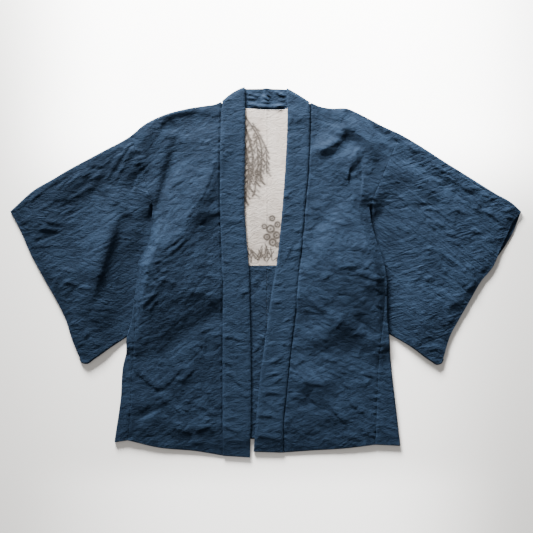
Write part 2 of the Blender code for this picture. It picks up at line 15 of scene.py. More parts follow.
import bmesh
import bpy
import numpy as np
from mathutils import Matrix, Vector

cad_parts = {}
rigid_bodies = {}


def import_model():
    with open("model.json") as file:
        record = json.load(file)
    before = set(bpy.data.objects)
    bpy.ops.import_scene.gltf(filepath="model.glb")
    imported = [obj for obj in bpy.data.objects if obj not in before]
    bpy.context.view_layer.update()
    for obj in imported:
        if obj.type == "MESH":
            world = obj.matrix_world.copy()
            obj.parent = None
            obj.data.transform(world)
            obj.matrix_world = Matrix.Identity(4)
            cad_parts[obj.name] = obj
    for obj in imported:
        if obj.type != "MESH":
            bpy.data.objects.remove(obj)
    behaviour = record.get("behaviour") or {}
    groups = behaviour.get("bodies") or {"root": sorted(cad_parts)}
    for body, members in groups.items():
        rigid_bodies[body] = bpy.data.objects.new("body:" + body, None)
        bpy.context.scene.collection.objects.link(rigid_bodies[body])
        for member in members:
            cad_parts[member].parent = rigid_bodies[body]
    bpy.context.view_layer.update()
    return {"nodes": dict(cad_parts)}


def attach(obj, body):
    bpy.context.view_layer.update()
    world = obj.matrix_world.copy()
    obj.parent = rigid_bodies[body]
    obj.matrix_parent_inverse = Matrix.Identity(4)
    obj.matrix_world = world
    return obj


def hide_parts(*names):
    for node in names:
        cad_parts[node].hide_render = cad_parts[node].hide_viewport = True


for old in list(bpy.data.objects):
    bpy.data.objects.remove(old)
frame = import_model()
print("pieces in the frame:", ", ".join(sorted(frame["nodes"])))

# %% [markdown]
# Cloth is easiest to think about in millimetres, so every size below is in them, and a mesh is
# turned into metres as it is made. The heights are those of the middle of each cloth above the
# surface that the jacket lies on. Where two layers meet they keep a small gap, as real layers do.

# %% Walls, gaps and heights in millimetres
METRE = 1000
CLOTH, LINING, BAND = 1.5, 1.0, 2.5
SEAM_GAP, LAYER_GAP = 0.3, 0.6
ROLL, ROLL_STEPS = 2.0, 6
CENTRE_X, NECK_Y = 2.0, 367.0
BACK_HEM_Y, BACK_HEM_DROP, BACK_HALF_WIDTH = -375.0, 10.0, 320.0

FLAT = CLOTH / 2
SLEEVE_FLAT = FLAT + CLOTH + 0.5
BACK_OVER_SLEEVE = SLEEVE_FLAT + CLOTH + LAYER_GAP
FRONT_OVER_SLEEVE = BACK_OVER_SLEEVE + CLOTH + 1.0
FRONT_LOW = FLAT + CLOTH + 0.75
FRONT_REST, FRONT_PUFF, SLEEVE_REST = 4.6, 1.2, 5.2
LINING_REST = CLOTH + SEAM_GAP + LINING / 2
FACING_REST = CLOTH + SEAM_GAP + CLOTH / 2
COLLAR_UNDER = BAND / 2
COLLAR_REST = 2 * (CLOTH + SEAM_GAP) + BAND / 2
print(f"front rests at {FRONT_REST} mm, collar at {COLLAR_REST:.2f} mm")

# %% [markdown]
# ## The outlines
# A pattern cutter would draw each piece on paper. Here an outline is a short table of the places
# where its edge changes direction, and a smooth curve is drawn through them. Right and left are
# the wearer's, so the right side lies at negative X.

# %% Outlines of the right side
Point = namedtuple("Point", "x y")
Side = namedtuple("Side", "name turn top armhole apex free gusset_edge gusset_seam cuff under foot"
                          " seam hem band neck_fold neck_bow hidden")


def points(*pairs):
    """A table of points with x and y columns."""
    return [Point(*pair) for pair in pairs]


RIGHT_CUFF = points((-577, 138), (-556, 98), (-536, 51), (-504, -10), (-469, -73), (-453, -107),
                    (-441, -147), (-421, -196))
RIGHT = Side(
    name="right", turn=-1,
    top=points((-577, 138), (-563, 150), (-521, 186), (-482, 208), (-443, 231), (-367, 272),
               (-304, 307), (-273, 333), (-234, 353), (-173, 370), (-134, 376), (-115, 379),
               (-101, 385)),
    armhole=Point(-304, 307),
    apex=Point(-254, 147),
    free=points((-254, 147), (-266, 62), (-286, 24), (-292, -30), (-297, -62)),
    gusset_edge=points((-298, -64), (-303, -110), (-313, -145), (-316, -186), (-320, -200),
                       (-328, -287), (-342, -382)),
    gusset_seam=points((-292, -64), (-294, -110), (-296, -150), (-298, -183), (-303, -242),
                       (-306, -318), (-311, -378)),
    cuff=RIGHT_CUFF, under=RIGHT_CUFF,
    foot=points((-421, -196), (-415, -204), (-403, -206), (-389, -197), (-351, -170),
                (-313, -145), (-228, -90), (-142, -35)),
    seam=points((-101, 382), (-104, 273), (-104, 143), (-101, 51), (-98, -62), (-98, -152),
                (-98, -287), (-97, -413)),
    hem=points((-311, -378), (-245, -394), (-155, -403), (-97, -413)),
    band=points((-47, 366), (-48, 240), (-48, 129), (-42, 51), (-39, 15), (-37, -62), (-35, -152),
                (-34, -287), (-36, -417)),
    neck_fold=points((-97.5, 383.5), (-47.5, 415.3)),
    neck_bow=3.5,
    hidden=points((-254, 147), (-266, 62), (-286, 24), (-292, -30), (-299, -96), (-313, -145),
                  (-142, -35)),
)
print("right side:", len(Side._fields) - 3, "edges and corners")

# %% [markdown]
# The left side isn't a mirror image: the jacket was laid down by hand, so its shoulder lies a
# little differently, its cuff stands open by some millimetres and its front hangs at a slant.

# %% Outlines of the left side
LEFT = Side(
    name="left", turn=1,
    top=points((576, 137), (555, 156), (515, 179), (457, 215), (398, 252), (338, 291), (302, 312),
               (263, 330), (235, 345), (207, 359), (187, 368), (142, 370), (119, 375), (101, 383)),
    armhole=Point(302, 312),
    apex=Point(232, 147),
    free=points((232, 147), (238, 107), (244, 84), (264, 24), (271, -12), (271, -50)),
    gusset_edge=points((273, -52), (274, -107), (277, -138), (281, -197), (291, -287),
                       (303, -390)),
    gusset_seam=points((267, -52), (265, -87), (261, -123), (253, -213), (249, -318),
                       (246, -388)),
    cuff=points((576, 137), (560, 118), (546, 88), (532, 58), (512, 12), (486, -20), (462, -62),
                (437, -106), (419, -139), (401, -196)),
    under=points((576, 137), (559, 92), (538, 56), (509, 16), (486, -20), (462, -62), (437, -106),
                 (419, -139), (401, -196)),
    foot=points((401, -196), (396, -205), (385, -208), (371, -200), (327, -168), (276, -138),
                (194, -86), (111, -35)),
    seam=points((101, 380), (98, 276), (94, 208), (89, 156), (81, 62), (76, 17), (68, -75),
                (56, -174), (45, -276), (39, -332), (39, -406)),
    hem=points((246, -388), (182, -396), (92, -402), (39, -406)),
    band=points((49, 366), (47, 298), (41, 197), (28, 51), (24, 19), (14, -39), (0, -141),
                (-15, -253), (-22, -332), (-28, -404)),
    neck_fold=points((97.5, 381), (46, 412.5)),
    neck_bow=1.0,
    hidden=points((232, 147), (238, 107), (244, 84), (264, 24), (271, -12), (271, -50),
                  (274, -107), (276, -138), (111, -35)),
)

print("jacket is", LEFT.top[0].x - RIGHT.top[0].x, "mm across the cuffs")

# %% [markdown]
# Behind the neck the collar's sewn edge follows the neckline. Its free edge lies above that, and
# turns about the tip of the fold at each shoulder. Each section says where the two edges lie.

# %% Neckline and the collar behind it
Section = namedtuple("Section", "seam_x free_x free_y")
NECKLINE = points((-97.5, 383.5), (-64, 373), (-30, 368.6), (CENTRE_X, NECK_Y), (30, 366.6),
                  (64, 371.4), (97.5, 381))
BEHIND_NECK = [
    Section(-80, -46.6, 414.6), Section(-64, -45.5, 414), Section(-46, -42, 413.6),
    Section(-30, -28, 413.6), Section(-14, -14, 413.8), Section(-7, -7, 414.4),
    Section(0, 0, 414.8), Section(7, 7, 414.4), Section(14, 14, 413.6),
    Section(30, 28, 413.2), Section(46, 41, 412.6), Section(64, 44, 412.2),
    Section(80, 45, 412.2),
]
print(len(BEHIND_NECK), "sections behind the neck")

# %% [markdown]
# ## Curves
# These helpers draw a smooth curve through a table and share points out evenly along it. They work
# on whole arrays at once, which is what makes grids of ten thousand points quick in Python.

# %% Smooth curves
OUTLINE_STEPS, CURVE_STEPS = 300, 400


def even(count):
    """Fractions that part a length into count equal steps."""
    return np.linspace(0, 1, count + 1)


def smooth_step(value):
    """Zero below 0, one above 1 and an even slope between."""
    held = np.clip(value, 0.0, 1.0)
    return held * held * (3 - 2 * held)


def lengths(curve):
    """Length of a polyline up to each of its points."""
    return np.concatenate([[0], np.cumsum(np.hypot(*np.diff(curve[:, :2], axis=0).T))])


def trace(table, stops):
    """Points at the given fractions of the length of a smooth curve through a table."""
    knots = np.array(table, float)
    span = lengths(knots)
    slope = np.gradient(knots, span, axis=0, edge_order=1)
    fine = np.linspace(0, span[-1], CURVE_STEPS)
    start = np.clip(np.searchsorted(span, fine, side="right") - 1, 0, len(span) - 2)
    size = (span[start + 1] - span[start])[:, None]
    t = (fine - span[start])[:, None] / size
    curve = ((1 + 2 * t) * (1 - t) ** 2 * knots[start] + t * (1 - t) ** 2 * size * slope[start]
             + t * t * (3 - 2 * t) * knots[start + 1] + t * t * (t - 1) * size * slope[start + 1])
    return resample(curve, stops)


def resample(curve, stops):
    """Points at fractions of a polyline's own length."""
    along = lengths(curve)
    wanted = np.asarray(stops) * along[-1]
    return np.column_stack([np.interp(wanted, along, column) for column in curve.T])


def shares(curve):
    """How far along a polyline each of its points lies, from 0 to 1."""
    along = lengths(curve)
    return along / along[-1]


print("each curve is drawn with", CURVE_STEPS, "points")

# %% [markdown]
# A sheet of cloth is a grid: rows of points that fill the space between four edges. Two sheets
# that share an edge need its points in the very same places, so a curve can be eased over to end
# on given points.

# %% Filling the space between edges
def outward_of(curve, inside):
    """Unit directions square to a curve, pointing away from a point inside the piece."""
    run = np.gradient(curve, axis=0)
    square = np.column_stack([-run[:, 1], run[:, 0]])
    square /= np.hypot(*square.T)[:, None]
    middle = len(curve) // 2
    facing = np.dot(square[middle], curve[middle] - np.asarray(inside))
    return square if facing > 0 else -square


def pin(curve, start, end):
    """The same curve, eased over so that it starts and ends at two given points."""
    share = np.linspace(0, 1, len(curve))[:, None]
    return curve + (1 - share) * (start - curve[0]) + share * (end - curve[-1])


def fill(top, foot, left, right, across, down):
    """Rows of points between four edges: top and foot run across, left and right run down."""
    u = np.asarray(across)[None, :, None]
    v = np.asarray(down)[:, None, None]
    corners = ((1 - u) * (1 - v) * top[0] + u * (1 - v) * top[-1]
               + (1 - u) * v * foot[0] + u * v * foot[-1])
    return ((1 - u) * left[:, None] + u * right[:, None]
            + (1 - v) * top[None] + v * foot[None] - corners)


print("a sheet is filled in between its four edges")

# %% [markdown]
# Much of what cloth does depends on how far a place is from a seam or an edge, so these measure
# distances, for a whole grid at a time.

# %% Distances
def distance_to(path, x, y):
    """Distance of points from a polyline."""
    corners = np.array(path, float)
    spots = np.column_stack([np.ravel(x), np.ravel(y)])
    nearest = np.full(len(spots), np.inf)
    for a, b in zip(corners, corners[1:]):
        edge = b - a
        t = np.clip((spots - a) @ edge / (edge @ edge), 0, 1)
        nearest = np.minimum(nearest, np.hypot(*(spots - a - t[:, None] * edge).T))
    return nearest.reshape(np.shape(x))


def far_from(outline, x, y):
    """Distance of points from a closed outline, zero inside it."""
    inside = np.zeros(np.shape(x), bool)
    for a, b in zip(outline, [*outline[1:], outline[0]]):
        if a.y != b.y:
            cut = a.x + (y - a.y) / (b.y - a.y) * (b.x - a.x)
            inside ^= ((a.y > y) != (b.y > y)) & (x < cut)
    return np.where(inside, 0.0, distance_to([*outline, outline[0]], x, y))


print("distances are measured for a whole grid at a time")

# %% [markdown]
# ## Large folds
# The cloth isn't pulled flat, so it lies in broad soft folds. The solids have the largest of them,
# and here those are joined by lesser ones. Each is a row: three places that it runs over, how far
# it rises (or sinks), and over what width it dies away on its left-hand and right-hand side,
# looking along it. Folds of the fronts run on into the sleeves.

# %% Table of large folds
Fold = namedtuple("Fold", "x0 y0 x1 y1 x2 y2 rise left right")


def table(kind, text):
    """Rows of a kind from plain text, a row a line, its numbers in the order of the columns."""
    lines = [line.split("#")[0].split() for line in text.splitlines()]
    return [kind(*map(float, line)) for line in lines if line]


FOLDS = {"front": table(Fold, """
    -243 321  -180 343  -106 350  -3.4  22 22
    -218 350  -243 309  -280 240  -3.0  18 18
    -256 326  -180 357  -80 368  2.0  14 26
    -205 360  -392 260  -580 142  7.8  62 12
    -190 308  -214 222  -260 66  -4.4  40 16
    -178 320  -190 225  -234 80  3.4  30 26
    -206 392  -262 288  -334 184  4.4  20 40
    -222 330  -243 225  -280 100  2.6  18 30
    -92 352  -122 222  -196 90  4.8  22 55
    -104 236  -168 118  -290 4  4.8  32 85
    -178 124  -115 134  -30 133  1.0  40 24
    -420 -16  -276 -4  -100 -20  11.5  140 104
    -200 -25  -140 -40  -84 -56  2.0  50 40
    -300 -200  -257 -240  -222 -270  1.9  26 14
    -222 -270  -190 -245  -150 -205  1.5  26 16
    -325 -318  -261 -294  -206 -272  2.4  30 20
    -210 -364  -160 -352  -92 -330  1.7  20 30
    -96 -100  -152 -155  -240 -245  3.4  50 30
    -345 -318  -230 -322  -105 -330  1.4  105 60
    98 285  147 284  176 336  7.0  30 17
    172 342  213 306  256 244  7.4  30 16
    130 220  178 260  218 244  3.8  17 60
    172 384  172 340  162 300  4.6  13 26
    206 356  250 326  304 288  -2.6  12 14
    196 306  211 203  248 92  6.6  26 62
    212 250  256 238  322 196  3.6  30 80
    86 -12  200 8  312 20  9.5  120 105
    204 -88  140 -128  80 -168  3.2  40 28
    198 -90  220 -122  258 -138  -1.4  14 14
    50 -246  110 -242  168 -262  3.4  30 28
    60 -218  126 -282  190 -346  2.2  20 20
    45 352  77 349  100 358  2.2  14 16
"""), "sleeve": table(Fold, """
    -324 162  -362 24  -409 -104  5.5  12 70
    -316 148  -351 24  -398 -98  -3.4  80 10
    -360 156  -324 158  -286 130  3.0  30 16
    290 306  420 234  575 134  3.0  12 50
    262 180  284 95  304 0  -2.4  34 24
    232 -52  302 -88  404 -146  5.0  64 46
    -455 -135  -385 -125  -320 -105  2.6  60 42
    -490 -30  -425 2  -352 12  2.6  40 34
    -545 112  -497 116  -446 134  3.0  32 28
    -440 -72  -385 -75  -320 -60  2.8  40 30
    330 130  369 152  408 152  -2.0  14 14
    270 -60  329 -75  376 -114  1.4  40 30
    296 258  391 174  476 66  2.6  18 22
    330 112  425 24  482 -46  2.6  18 22
    268 288  372 220  508 120  -2.4  16 16
""")}
print({piece: len(rows) for piece, rows in FOLDS.items()}, "large folds")

# %% [markdown]
# A fold or crease is a ridge (or a trough) along a curve through three places. Its height falls
# away on each side as a bell, and the two sides may have their own widths: a wide side reads as a
# soft slope, a narrow one as a sharp line.

# %% Height of one fold or crease
FOLD_STEPS, REACH = 12, 2.7


def ridge(row, x, y):
    """Rise of one fold or crease: highest along its middle, gone at its ends."""
    start, middle, end = np.array(row[:6], float).reshape(3, 2)
    rise, left, right = row[6:]
    reach = REACH * max(left, right)
    low = np.minimum(np.minimum(start, middle), end) - reach
    high = np.maximum(np.maximum(start, middle), end) + reach
    near = (x > low[0]) & (x < high[0]) & (y > low[1]) & (y < high[1])
    height = np.zeros(np.shape(x))
    spots = np.column_stack([x[near], y[near]])
    if not len(spots):
        return height
    bend = 2 * middle - (start + end) / 2
    t = even(FOLD_STEPS)[:, None]
    path = (1 - t) ** 2 * start + 2 * t * (1 - t) * bend + t * t * end
    best = np.full(len(spots), np.inf)
    side = np.zeros(len(spots))
    place = np.zeros(len(spots))
    for number, (a, b) in enumerate(zip(path, path[1:])):
        run = b - a
        share = np.clip((spots - a) @ run / (run @ run), 0, 1)
        off = spots - a - share[:, None] * run
        distance = np.hypot(*off.T)
        closer = distance < best
        best = np.where(closer, distance, best)
        side = np.where(closer, run[0] * off[:, 1] - run[1] * off[:, 0], side)
        place = np.where(closer, (number + share) / FOLD_STEPS, place)
    width = np.where(side > 0, left, right)
    height[near] = rise * np.exp(-(best / width) ** 2) * smooth_step(4 * place * (1 - place))
    return height


def all_ridges(rows, x, y):
    """Several folds or creases together."""
    return sum(ridge(row, x, y) for row in rows)


def folds_on(piece, x, y):
    """All the large folds of one kind of piece together."""
    return all_ridges(FOLDS[piece], x, y)


print("a fold is traced in", FOLD_STEPS, "steps")

# %% [markdown]
# ## Creases one by one
# Between the large folds run shorter and sharper creases. Each row goes from left to right over
# three places, rises (or sinks) by rise, and dies away over above on its upper side and below on
# its lower side. A crease that is steep below catches no light there, so it reads as a dark line.

# %% Creases of the right front
CREASE_DEPTH, CREASE_EDGE = 0.8, 0.8
Crease = namedtuple("Crease", "x0 y0 x1 y1 x2 y2 rise above below")


def creases(text):
    """A table of creases, all made a little shallower and sharper alike."""
    return [row._replace(rise=CREASE_DEPTH * row.rise, below=CREASE_EDGE * row.below)
            for row in table(Crease, text)]


FRONT_CREASES = creases("""
    -268 50  -240 165  -206 290  -2.0  6 14
    -228 352  -190 361  -150 366  1.4  10 7
    -158 358  -128 362  -97 358  1.4  10 20
    -246 300  -240 322  -228 340  0.8  7 4
    -262 294  -256 316  -246 332  0.7  6 4
    -226 300  -213 310  -196 311  1.7  9 14
    -204 286  -190 293  -174 292  1.0  8 4
    -216 213  -186 222  -158 234  0.9  10 3.5
    -228 183  -202 198  -172 218  1.5  12 3.5
    -222 150  -210 155  -198 156  0.7  5 3
    -224 168  -208 172  -200 180  0.6  6 3
    -190 150  -182 158  -176 166  0.5  5 3
    -160 150  -134 190  -109 274  1.3  14 4
    -142 160  -122 186  -112 222  0.8  6 4
    -182 104  -172 128  -158 150  1.0  7 4
    -190 126  -140 130  -92 144  1.4  14 20
    -258 106  -242 127  -220 142  1.3  10 3.5
    -252 106  -240 111  -230 115  0.6  5 3
    -242 43  -206 66  -172 94  1.1  14 3.0
    -228 32  -200 54  -172 84  1.3  5 4
    -172 60  -158 68  -146 77  0.8  6 3
    -262 8  -240 26  -222 20  1.2  6 4
    -270 -4  -250 10  -228 14  1.0  6 4
    -284 20  -268 8  -262 16  0.8  5 4
    -236 12  -228 2  -212 8  0.8  5 4
    -286 -24  -262 -24  -244 -32  0.9  5 4
    -284 -80  -262 -60  -238 -42  1.9  5 5
    -296 -66  -268 -56  -240 -44  1.4  4 4
    -266 -94  -252 -72  -238 -54  1.6  5 5
    -258 -48  -236 -28  -226 -6  1.2  6 6
    -236 -20  -214 -18  -200 -38  1.4  7 9
    -206 -36  -166 -42  -128 -50  1.2  12 16
    -150 -40  -124 -56  -108 -80  1.0  12 12
    -204 -28  -184 -24  -164 -24  0.6  5 4
    -136 -8  -124 -11  -112 -10  0.8  5 3
    -164 20  -138 20  -116 22  0.9  6 8
    -152 -138  -136 -130  -118 -122  1.0  8 3
    -156 -158  -143 -166  -130 -158  0.8  6 3
    -144 -180  -122 -179  -104 -162  -1.7  22 6
    -130 -136  -118 -140  -104 -138  0.8  6 5
    -226 -257  -204 -231  -178 -204  1.5  16 3.6
    -198 -254  -174 -230  -154 -205  1.2  14 3.5
    -154 -214  -146 -222  -138 -228  0.6  6 3
    -306 -206  -268 -243  -228 -268  1.5  14 4
    -252 -270  -236 -265  -208 -266  -1.0  4 6
    -242 -276  -232 -284  -224 -296  0.9  7 5
    -300 -333  -266 -319  -228 -300  -2.6  24 6
    -300 -249  -282 -247  -266 -246  0.9  5 3
    -218 -296  -204 -304  -196 -318  0.7  6 3
    -208 -305  -194 -314  -180 -326  0.8  7 3
    -196 -301  -182 -308  -166 -312  1.0  8 3
    -190 -292  -178 -293  -164 -293  0.7  6 3
    -178 -268  -172 -280  -170 -296  0.9  6 6
    -136 -265  -128 -271  -118 -275  0.8  6 3.5
    -166 -258  -154 -261  -142 -262  0.6  5 3
    -152 -302  -136 -308  -118 -312  0.9  7 4
    -138 -322  -122 -318  -104 -322  1.2  8 5
    -152 -330  -136 -330  -122 -338  0.8  6 4
    -162 -359  -140 -350  -116 -337  1.3  12 3.6
    -206 -352  -184 -354  -166 -364  1.2  10 9
    -176 -376  -152 -381  -128 -371  1.3  8 8
    -132 -340  -124 -350  -116 -364  1.2  6 7
    -222 -332  -200 -340  -176 -340  0.7  6 4
""")
print(len(FRONT_CREASES), "creases on the right front")

# %% [markdown]
# The left front is pulled up into an arch below the shoulder, and its hem side is rumpled. Where
# the arch ends, a steep crease runs down towards the armhole.

# %% Creases of the left front
FRONT_CREASES += creases("""
    118 276  142 284  170 303  1.7  9 7
    198 306  224 300  244 264  1.7  9 7
    172 322  182 328  194 322  0.4  8 8
    208 366  226 348  246 330  -1.2  5 5
    196 272  210 275  226 270  1.8  6 8
    198 284  208 218  231 150  1.3  5 22
    126 356  134 350  142 342  0.6  6 4
    104 360  110 350  116 344  0.5  5 3
    98 154  108 146  120 140  0.6  6 4
    100 142  118 147  138 138  1.2  10 10
    102 104  122 108  138 118  -1.6  20 8
    94 96  104 103  116 110  0.7  6 3
    86 73  96 58  110 40  0.9  8 4
    110 58  122 54  134 50  1.0  7 3.5
    160 76  170 64  180 52  0.7  5 3
    184 134  190 122  198 110  0.6  5 3
    136 48  144 32  154 20  0.8  6 5
    148 20  182 13  226 22  1.8  20 8
    212 4  226 14  240 30  1.2  8 4
    188 50  208 56  234 42  1.3  10 6
    118 -18  138 -10  156 1  0.9  6 3
    172 -6  184 -14  192 -32  0.8  6 5
    222 -5  242 -14  268 -14  1.4  6 6
    202 -6  218 -2  232 -7  1.7  8 13
    216 -34  232 -26  252 -30  1.8  8 16
    240 -34  252 -40  266 -50  0.8  5 3
    240 -66  254 -75  268 -87  1.0  7 3.5
    94 -56  112 -75  134 -93  1.5  12 5
    80 -40  88 -50  96 -62  0.7  6 4
    110 -50  134 -58  154 -52  0.9  7 4
    124 -66  140 -66  154 -60  0.6  5 3
    198 -84  220 -122  258 -137  -1.2  7 7
    206 -58  214 -64  220 -76  0.7  6 4
    152 -134  164 -114  182 -96  1.0  8 4
    98 -155  140 -138  196 -118  1.0  14 24
    84 -190  120 -184  176 -164  -1.2  20 9
    62 -216  76 -203  102 -195  1.3  10 3.5
    64 -220  80 -236  97 -252  1.4  12 4
    100 -199  104 -206  112 -212  0.8  5 3.5
    118 -212  122 -204  132 -198  0.7  5 3.5
    160 -212  172 -210  186 -216  0.6  6 4
    72 -252  104 -246  150 -252  1.5  10 20
    136 -262  152 -272  168 -276  0.9  8 5
    58 -303  84 -303  110 -291  -1.0  18 8
    54 -280  72 -280  92 -290  0.9  8 7
    100 -282  106 -287  114 -290  0.7  5 3
    140 -292  160 -318  181 -343  1.5  12 4
    185 -290  194 -299  206 -305  1.0  7 4
    204 -303  224 -318  244 -332  1.1  9 6
    214 -330  230 -338  246 -342  0.7  7 4
    212 -226  228 -231  251 -236  1.5  8 3.5
    216 -258  228 -249  241 -240  0.9  7 3.5
    192 -244  206 -248  222 -250  0.6  6 3.5
    170 -248  182 -256  190 -264  0.7  6 3.5
    160 -222  172 -224  184 -222  0.6  6 4
    112 -330  138 -326  166 -336  1.2  12 20
    106 -316  124 -320  140 -318  0.6  7 4
    56 -343  73 -358  90 -375  1.0  10 4
    78 -358  98 -353  120 -364  1.3  9 12
    60 -356  74 -368  88 -376  0.7  6 3.5
    162 -372  188 -368  216 -386  1.1  8 10
    192 -360  204 -373  222 -382  1.0  8 4
    221 -356  232 -364  247 -372  1.3  7 5
    130 -374  146 -378  160 -388  0.8  8 6
    214 -164  210 -178  206 -196  0.7  6 4
    238 -180  246 -184  254 -192  0.8  5 4
    238 -198  246 -200  256 -204  0.6  5 4
""")
print(len(FRONT_CREASES), "creases on both fronts")

# %% [markdown]
# On the sleeves the creases fan out from the shoulder, and grow shorter towards the cuff.

# %% Creases of the sleeves
SLEEVE_CREASES = creases("""
    # the wearer's right sleeve
    -496 162  -440 196  -376 250  2.2  12 26
    -430 168  -392 196  -345 253  1.3  8 12
    -454 160  -415 178  -384 200  1.1  5 5
    -362 206  -340 238  -316 277  1.5  7 5
    -346 196  -327 224  -308 260  1.0  6 4
    -502 184  -472 202  -438 223  1.0  6 5
    -536 152  -516 172  -494 190  1.2  6 5
    -404 238  -382 241  -360 236  0.9  5 4
    -418 214  -402 222  -392 230  0.9  6 6
    -396 206  -382 216  -366 222  1.2  7 8
    -556 108  -536 118  -510 133  1.4  8 4
    -550 94  -540 98  -528 102  0.8  5 4
    -560 126  -552 140  -540 152  0.8  5 4
    -500 112  -478 112  -450 104  1.3  8 4
    -516 98  -486 97  -456 91  1.5  5 5
    -532 82  -514 78  -498 84  1.3  6 5
    -522 66  -490 80  -462 89  -1.3  12 5
    -538 57  -500 60  -450 61  1.0  5 4
    -422 88  -414 82  -406 79  0.7  5 3
    -366 139  -358 137  -350 138  0.7  4 3
    -378 148  -370 154  -364 160  0.5  5 3
    -478 4  -452 5  -424 -3  1.2  6 4
    -462 -22  -440 -23  -418 -31  1.3  6 4
    -476 -32  -468 -14  -454 -6  1.0  5 4
    -432 -34  -408 -33  -386 -40  1.6  8 7
    -442 -86  -428 -91  -414 -78  0.9  5 4
    -461 -76  -455 -66  -448 -58  0.8  5 4
    -398 -99  -386 -105  -372 -107  1.0  6 4
    -344 -91  -326 -89  -304 -92  1.0  4 3
    -346 -105  -330 -102  -306 -98  0.8  6 4
    -352 -123  -336 -120  -320 -117  1.1  7 4
    -350 -130  -334 -131  -316 -128  0.8  5 4
    -334 -112  -320 -108  -304 -110  1.4  8 10
    -396 -166  -374 -160  -348 -160  1.3  9 7
    -442 -117  -430 -116  -414 -122  1.4  7 8
    -428 -132  -416 -126  -406 -116  0.9  6 4
    -412 -152  -402 -140  -396 -124  1.1  6 4
    -420 -168  -412 -160  -404 -158  0.8  5 4
    -348 -84  -342 -42  -331 -4  0.7  4 4
    -330 150  -321 148  -310 143  1.3  5 4
    -330 128  -312 132  -296 134  2.2  12 9
    -300 116  -282 131  -262 148  1.8  10 10
    -300 97  -286 91  -270 86  1.4  8 5
    -316 46  -300 50  -284 47  1.3  8 7
    -306 -12  -300 -14  -294 -8  0.8  5 4
    -492 34  -470 38  -446 40  0.5  6 5
    -500 20  -484 26  -470 22  0.5  5 4
    -560 150  -546 158  -530 166  0.8  4 4
    -470 214  -452 222  -430 230  0.7  4 4
    # the wearer's left sleeve
    334 263  348 255  360 246  1.1  5 4
    336 246  350 246  362 240  0.9  5 4
    356 236  368 230  382 216  1.3  5 4
    368 250  384 236  400 232  1.3  6 5
    382 222  398 228  414 222  0.9  5 4
    368 214  386 205  408 203  1.3  6 4.5
    396 221  420 208  442 194  1.5  6 4
    386 206  392 200  402 196  1.0  5 4
    406 230  420 219  432 204  1.2  5 4
    428 201  450 189  470 177  1.7  6 4.5
    420 236  428 230  438 226  1.0  5 4
    440 220  454 206  472 199  1.3  6 4
    455 192  470 189  488 186  1.1  5 4
    478 179  493 173  508 172  1.3  5 4
    500 165  510 167  520 165  1.0  5 3.5
    402 196  412 187  430 187  1.1  6 4
    404 176  410 168  424 166  0.7  5 4
    430 180  452 165  482 150  1.2  6 4
    454 174  470 162  488 148  1.1  5 4
    462 157  474 143  490 134  1.4  7 4
    482 137  508 129  532 107  2.0  8 4.5
    416 150  434 138  464 132  1.6  8 4.5
    338 196  346 192  356 190  1.1  5 3.5
    300 174  306 163  318 150  0.9  7 3.5
    338 155  362 157  393 149  1.3  6 6
    343 138  368 143  398 135  1.5  5 4
    346 137  360 130  377 121  1.2  6 4
    361 119  370 108  384 97  1.5  10 5
    378 115  390 108  406 106  1.2  6 4.5
    400 94  414 86  432 83  1.3  7 4.5
    412 104  424 99  440 97  0.8  6 4
    400 78  424 66  442 64  1.1  7 4
    458 95  474 92  494 92  1.3  6 5
    486 72  500 74  516 66  1.4  6 4.5
    520 76  526 76  536 74  0.8  5 4
    318 62  328 54  338 48  0.9  6 4
    306 31  312 22  322 12  1.3  7 4.5
    352 52  362 54  376 48  1.2  6 4
    420 40  430 39  446 31  1.0  5 4
    402 36  412 28  428 25  1.0  5 4
    384 22  396 10  410 -3  1.4  7 4
    448 14  458 10  476 6  1.2  6 5
    472 34  482 30  492 28  1.3  6 6
    336 10  352 10  370 6  0.8  6 4
    331 -27  342 -11  362 -1  1.5  9 4.5
    344 -29  350 -36  356 -46  1.0  6 4
    358 -9  368 -10  380 -14  0.8  5 4
    354 -19  366 -16  380 -17  0.9  5 4
    308 -48  314 -52  322 -60  1.2  6 4
    282 -28  290 -28  300 -32  1.0  5 4
    276 -62  300 -66  320 -62  0.9  6 5
    300 -70  310 -74  330 -66  0.9  6 4
    272 -93  300 -91  336 -96  1.8  10 13
    274 -112  296 -114  318 -113  0.9  6 5
    276 -122  310 -122  344 -119  1.1  6 5
    400 -52  416 -54  440 -52  0.8  6 4
    402 -80  424 -66  452 -44  2.3  12 12
    404 -104  412 -108  424 -106  0.9  6 5
    448 -38  458 -34  470 -26  1.3  6 6
    344 -100  356 -130  374 -158  1.4  9 5
    358 -167  372 -172  390 -168  1.4  8 4.5
    330 -150  340 -158  352 -162  0.8  7 4
    384 -108  394 -112  402 -124  0.9  6 4
    356 -86  366 -94  372 -106  0.7  6 4
    536 128  548 124  560 124  1.2  5 4
    522 142  540 138  556 146  1.0  5 4
""")
print(len(SLEEVE_CREASES), "creases on the sleeves")

# %% [markdown]
# The collar is thicker than the rest, so its creases are short and run across it. Behind the neck
# they crowd round a small gather.

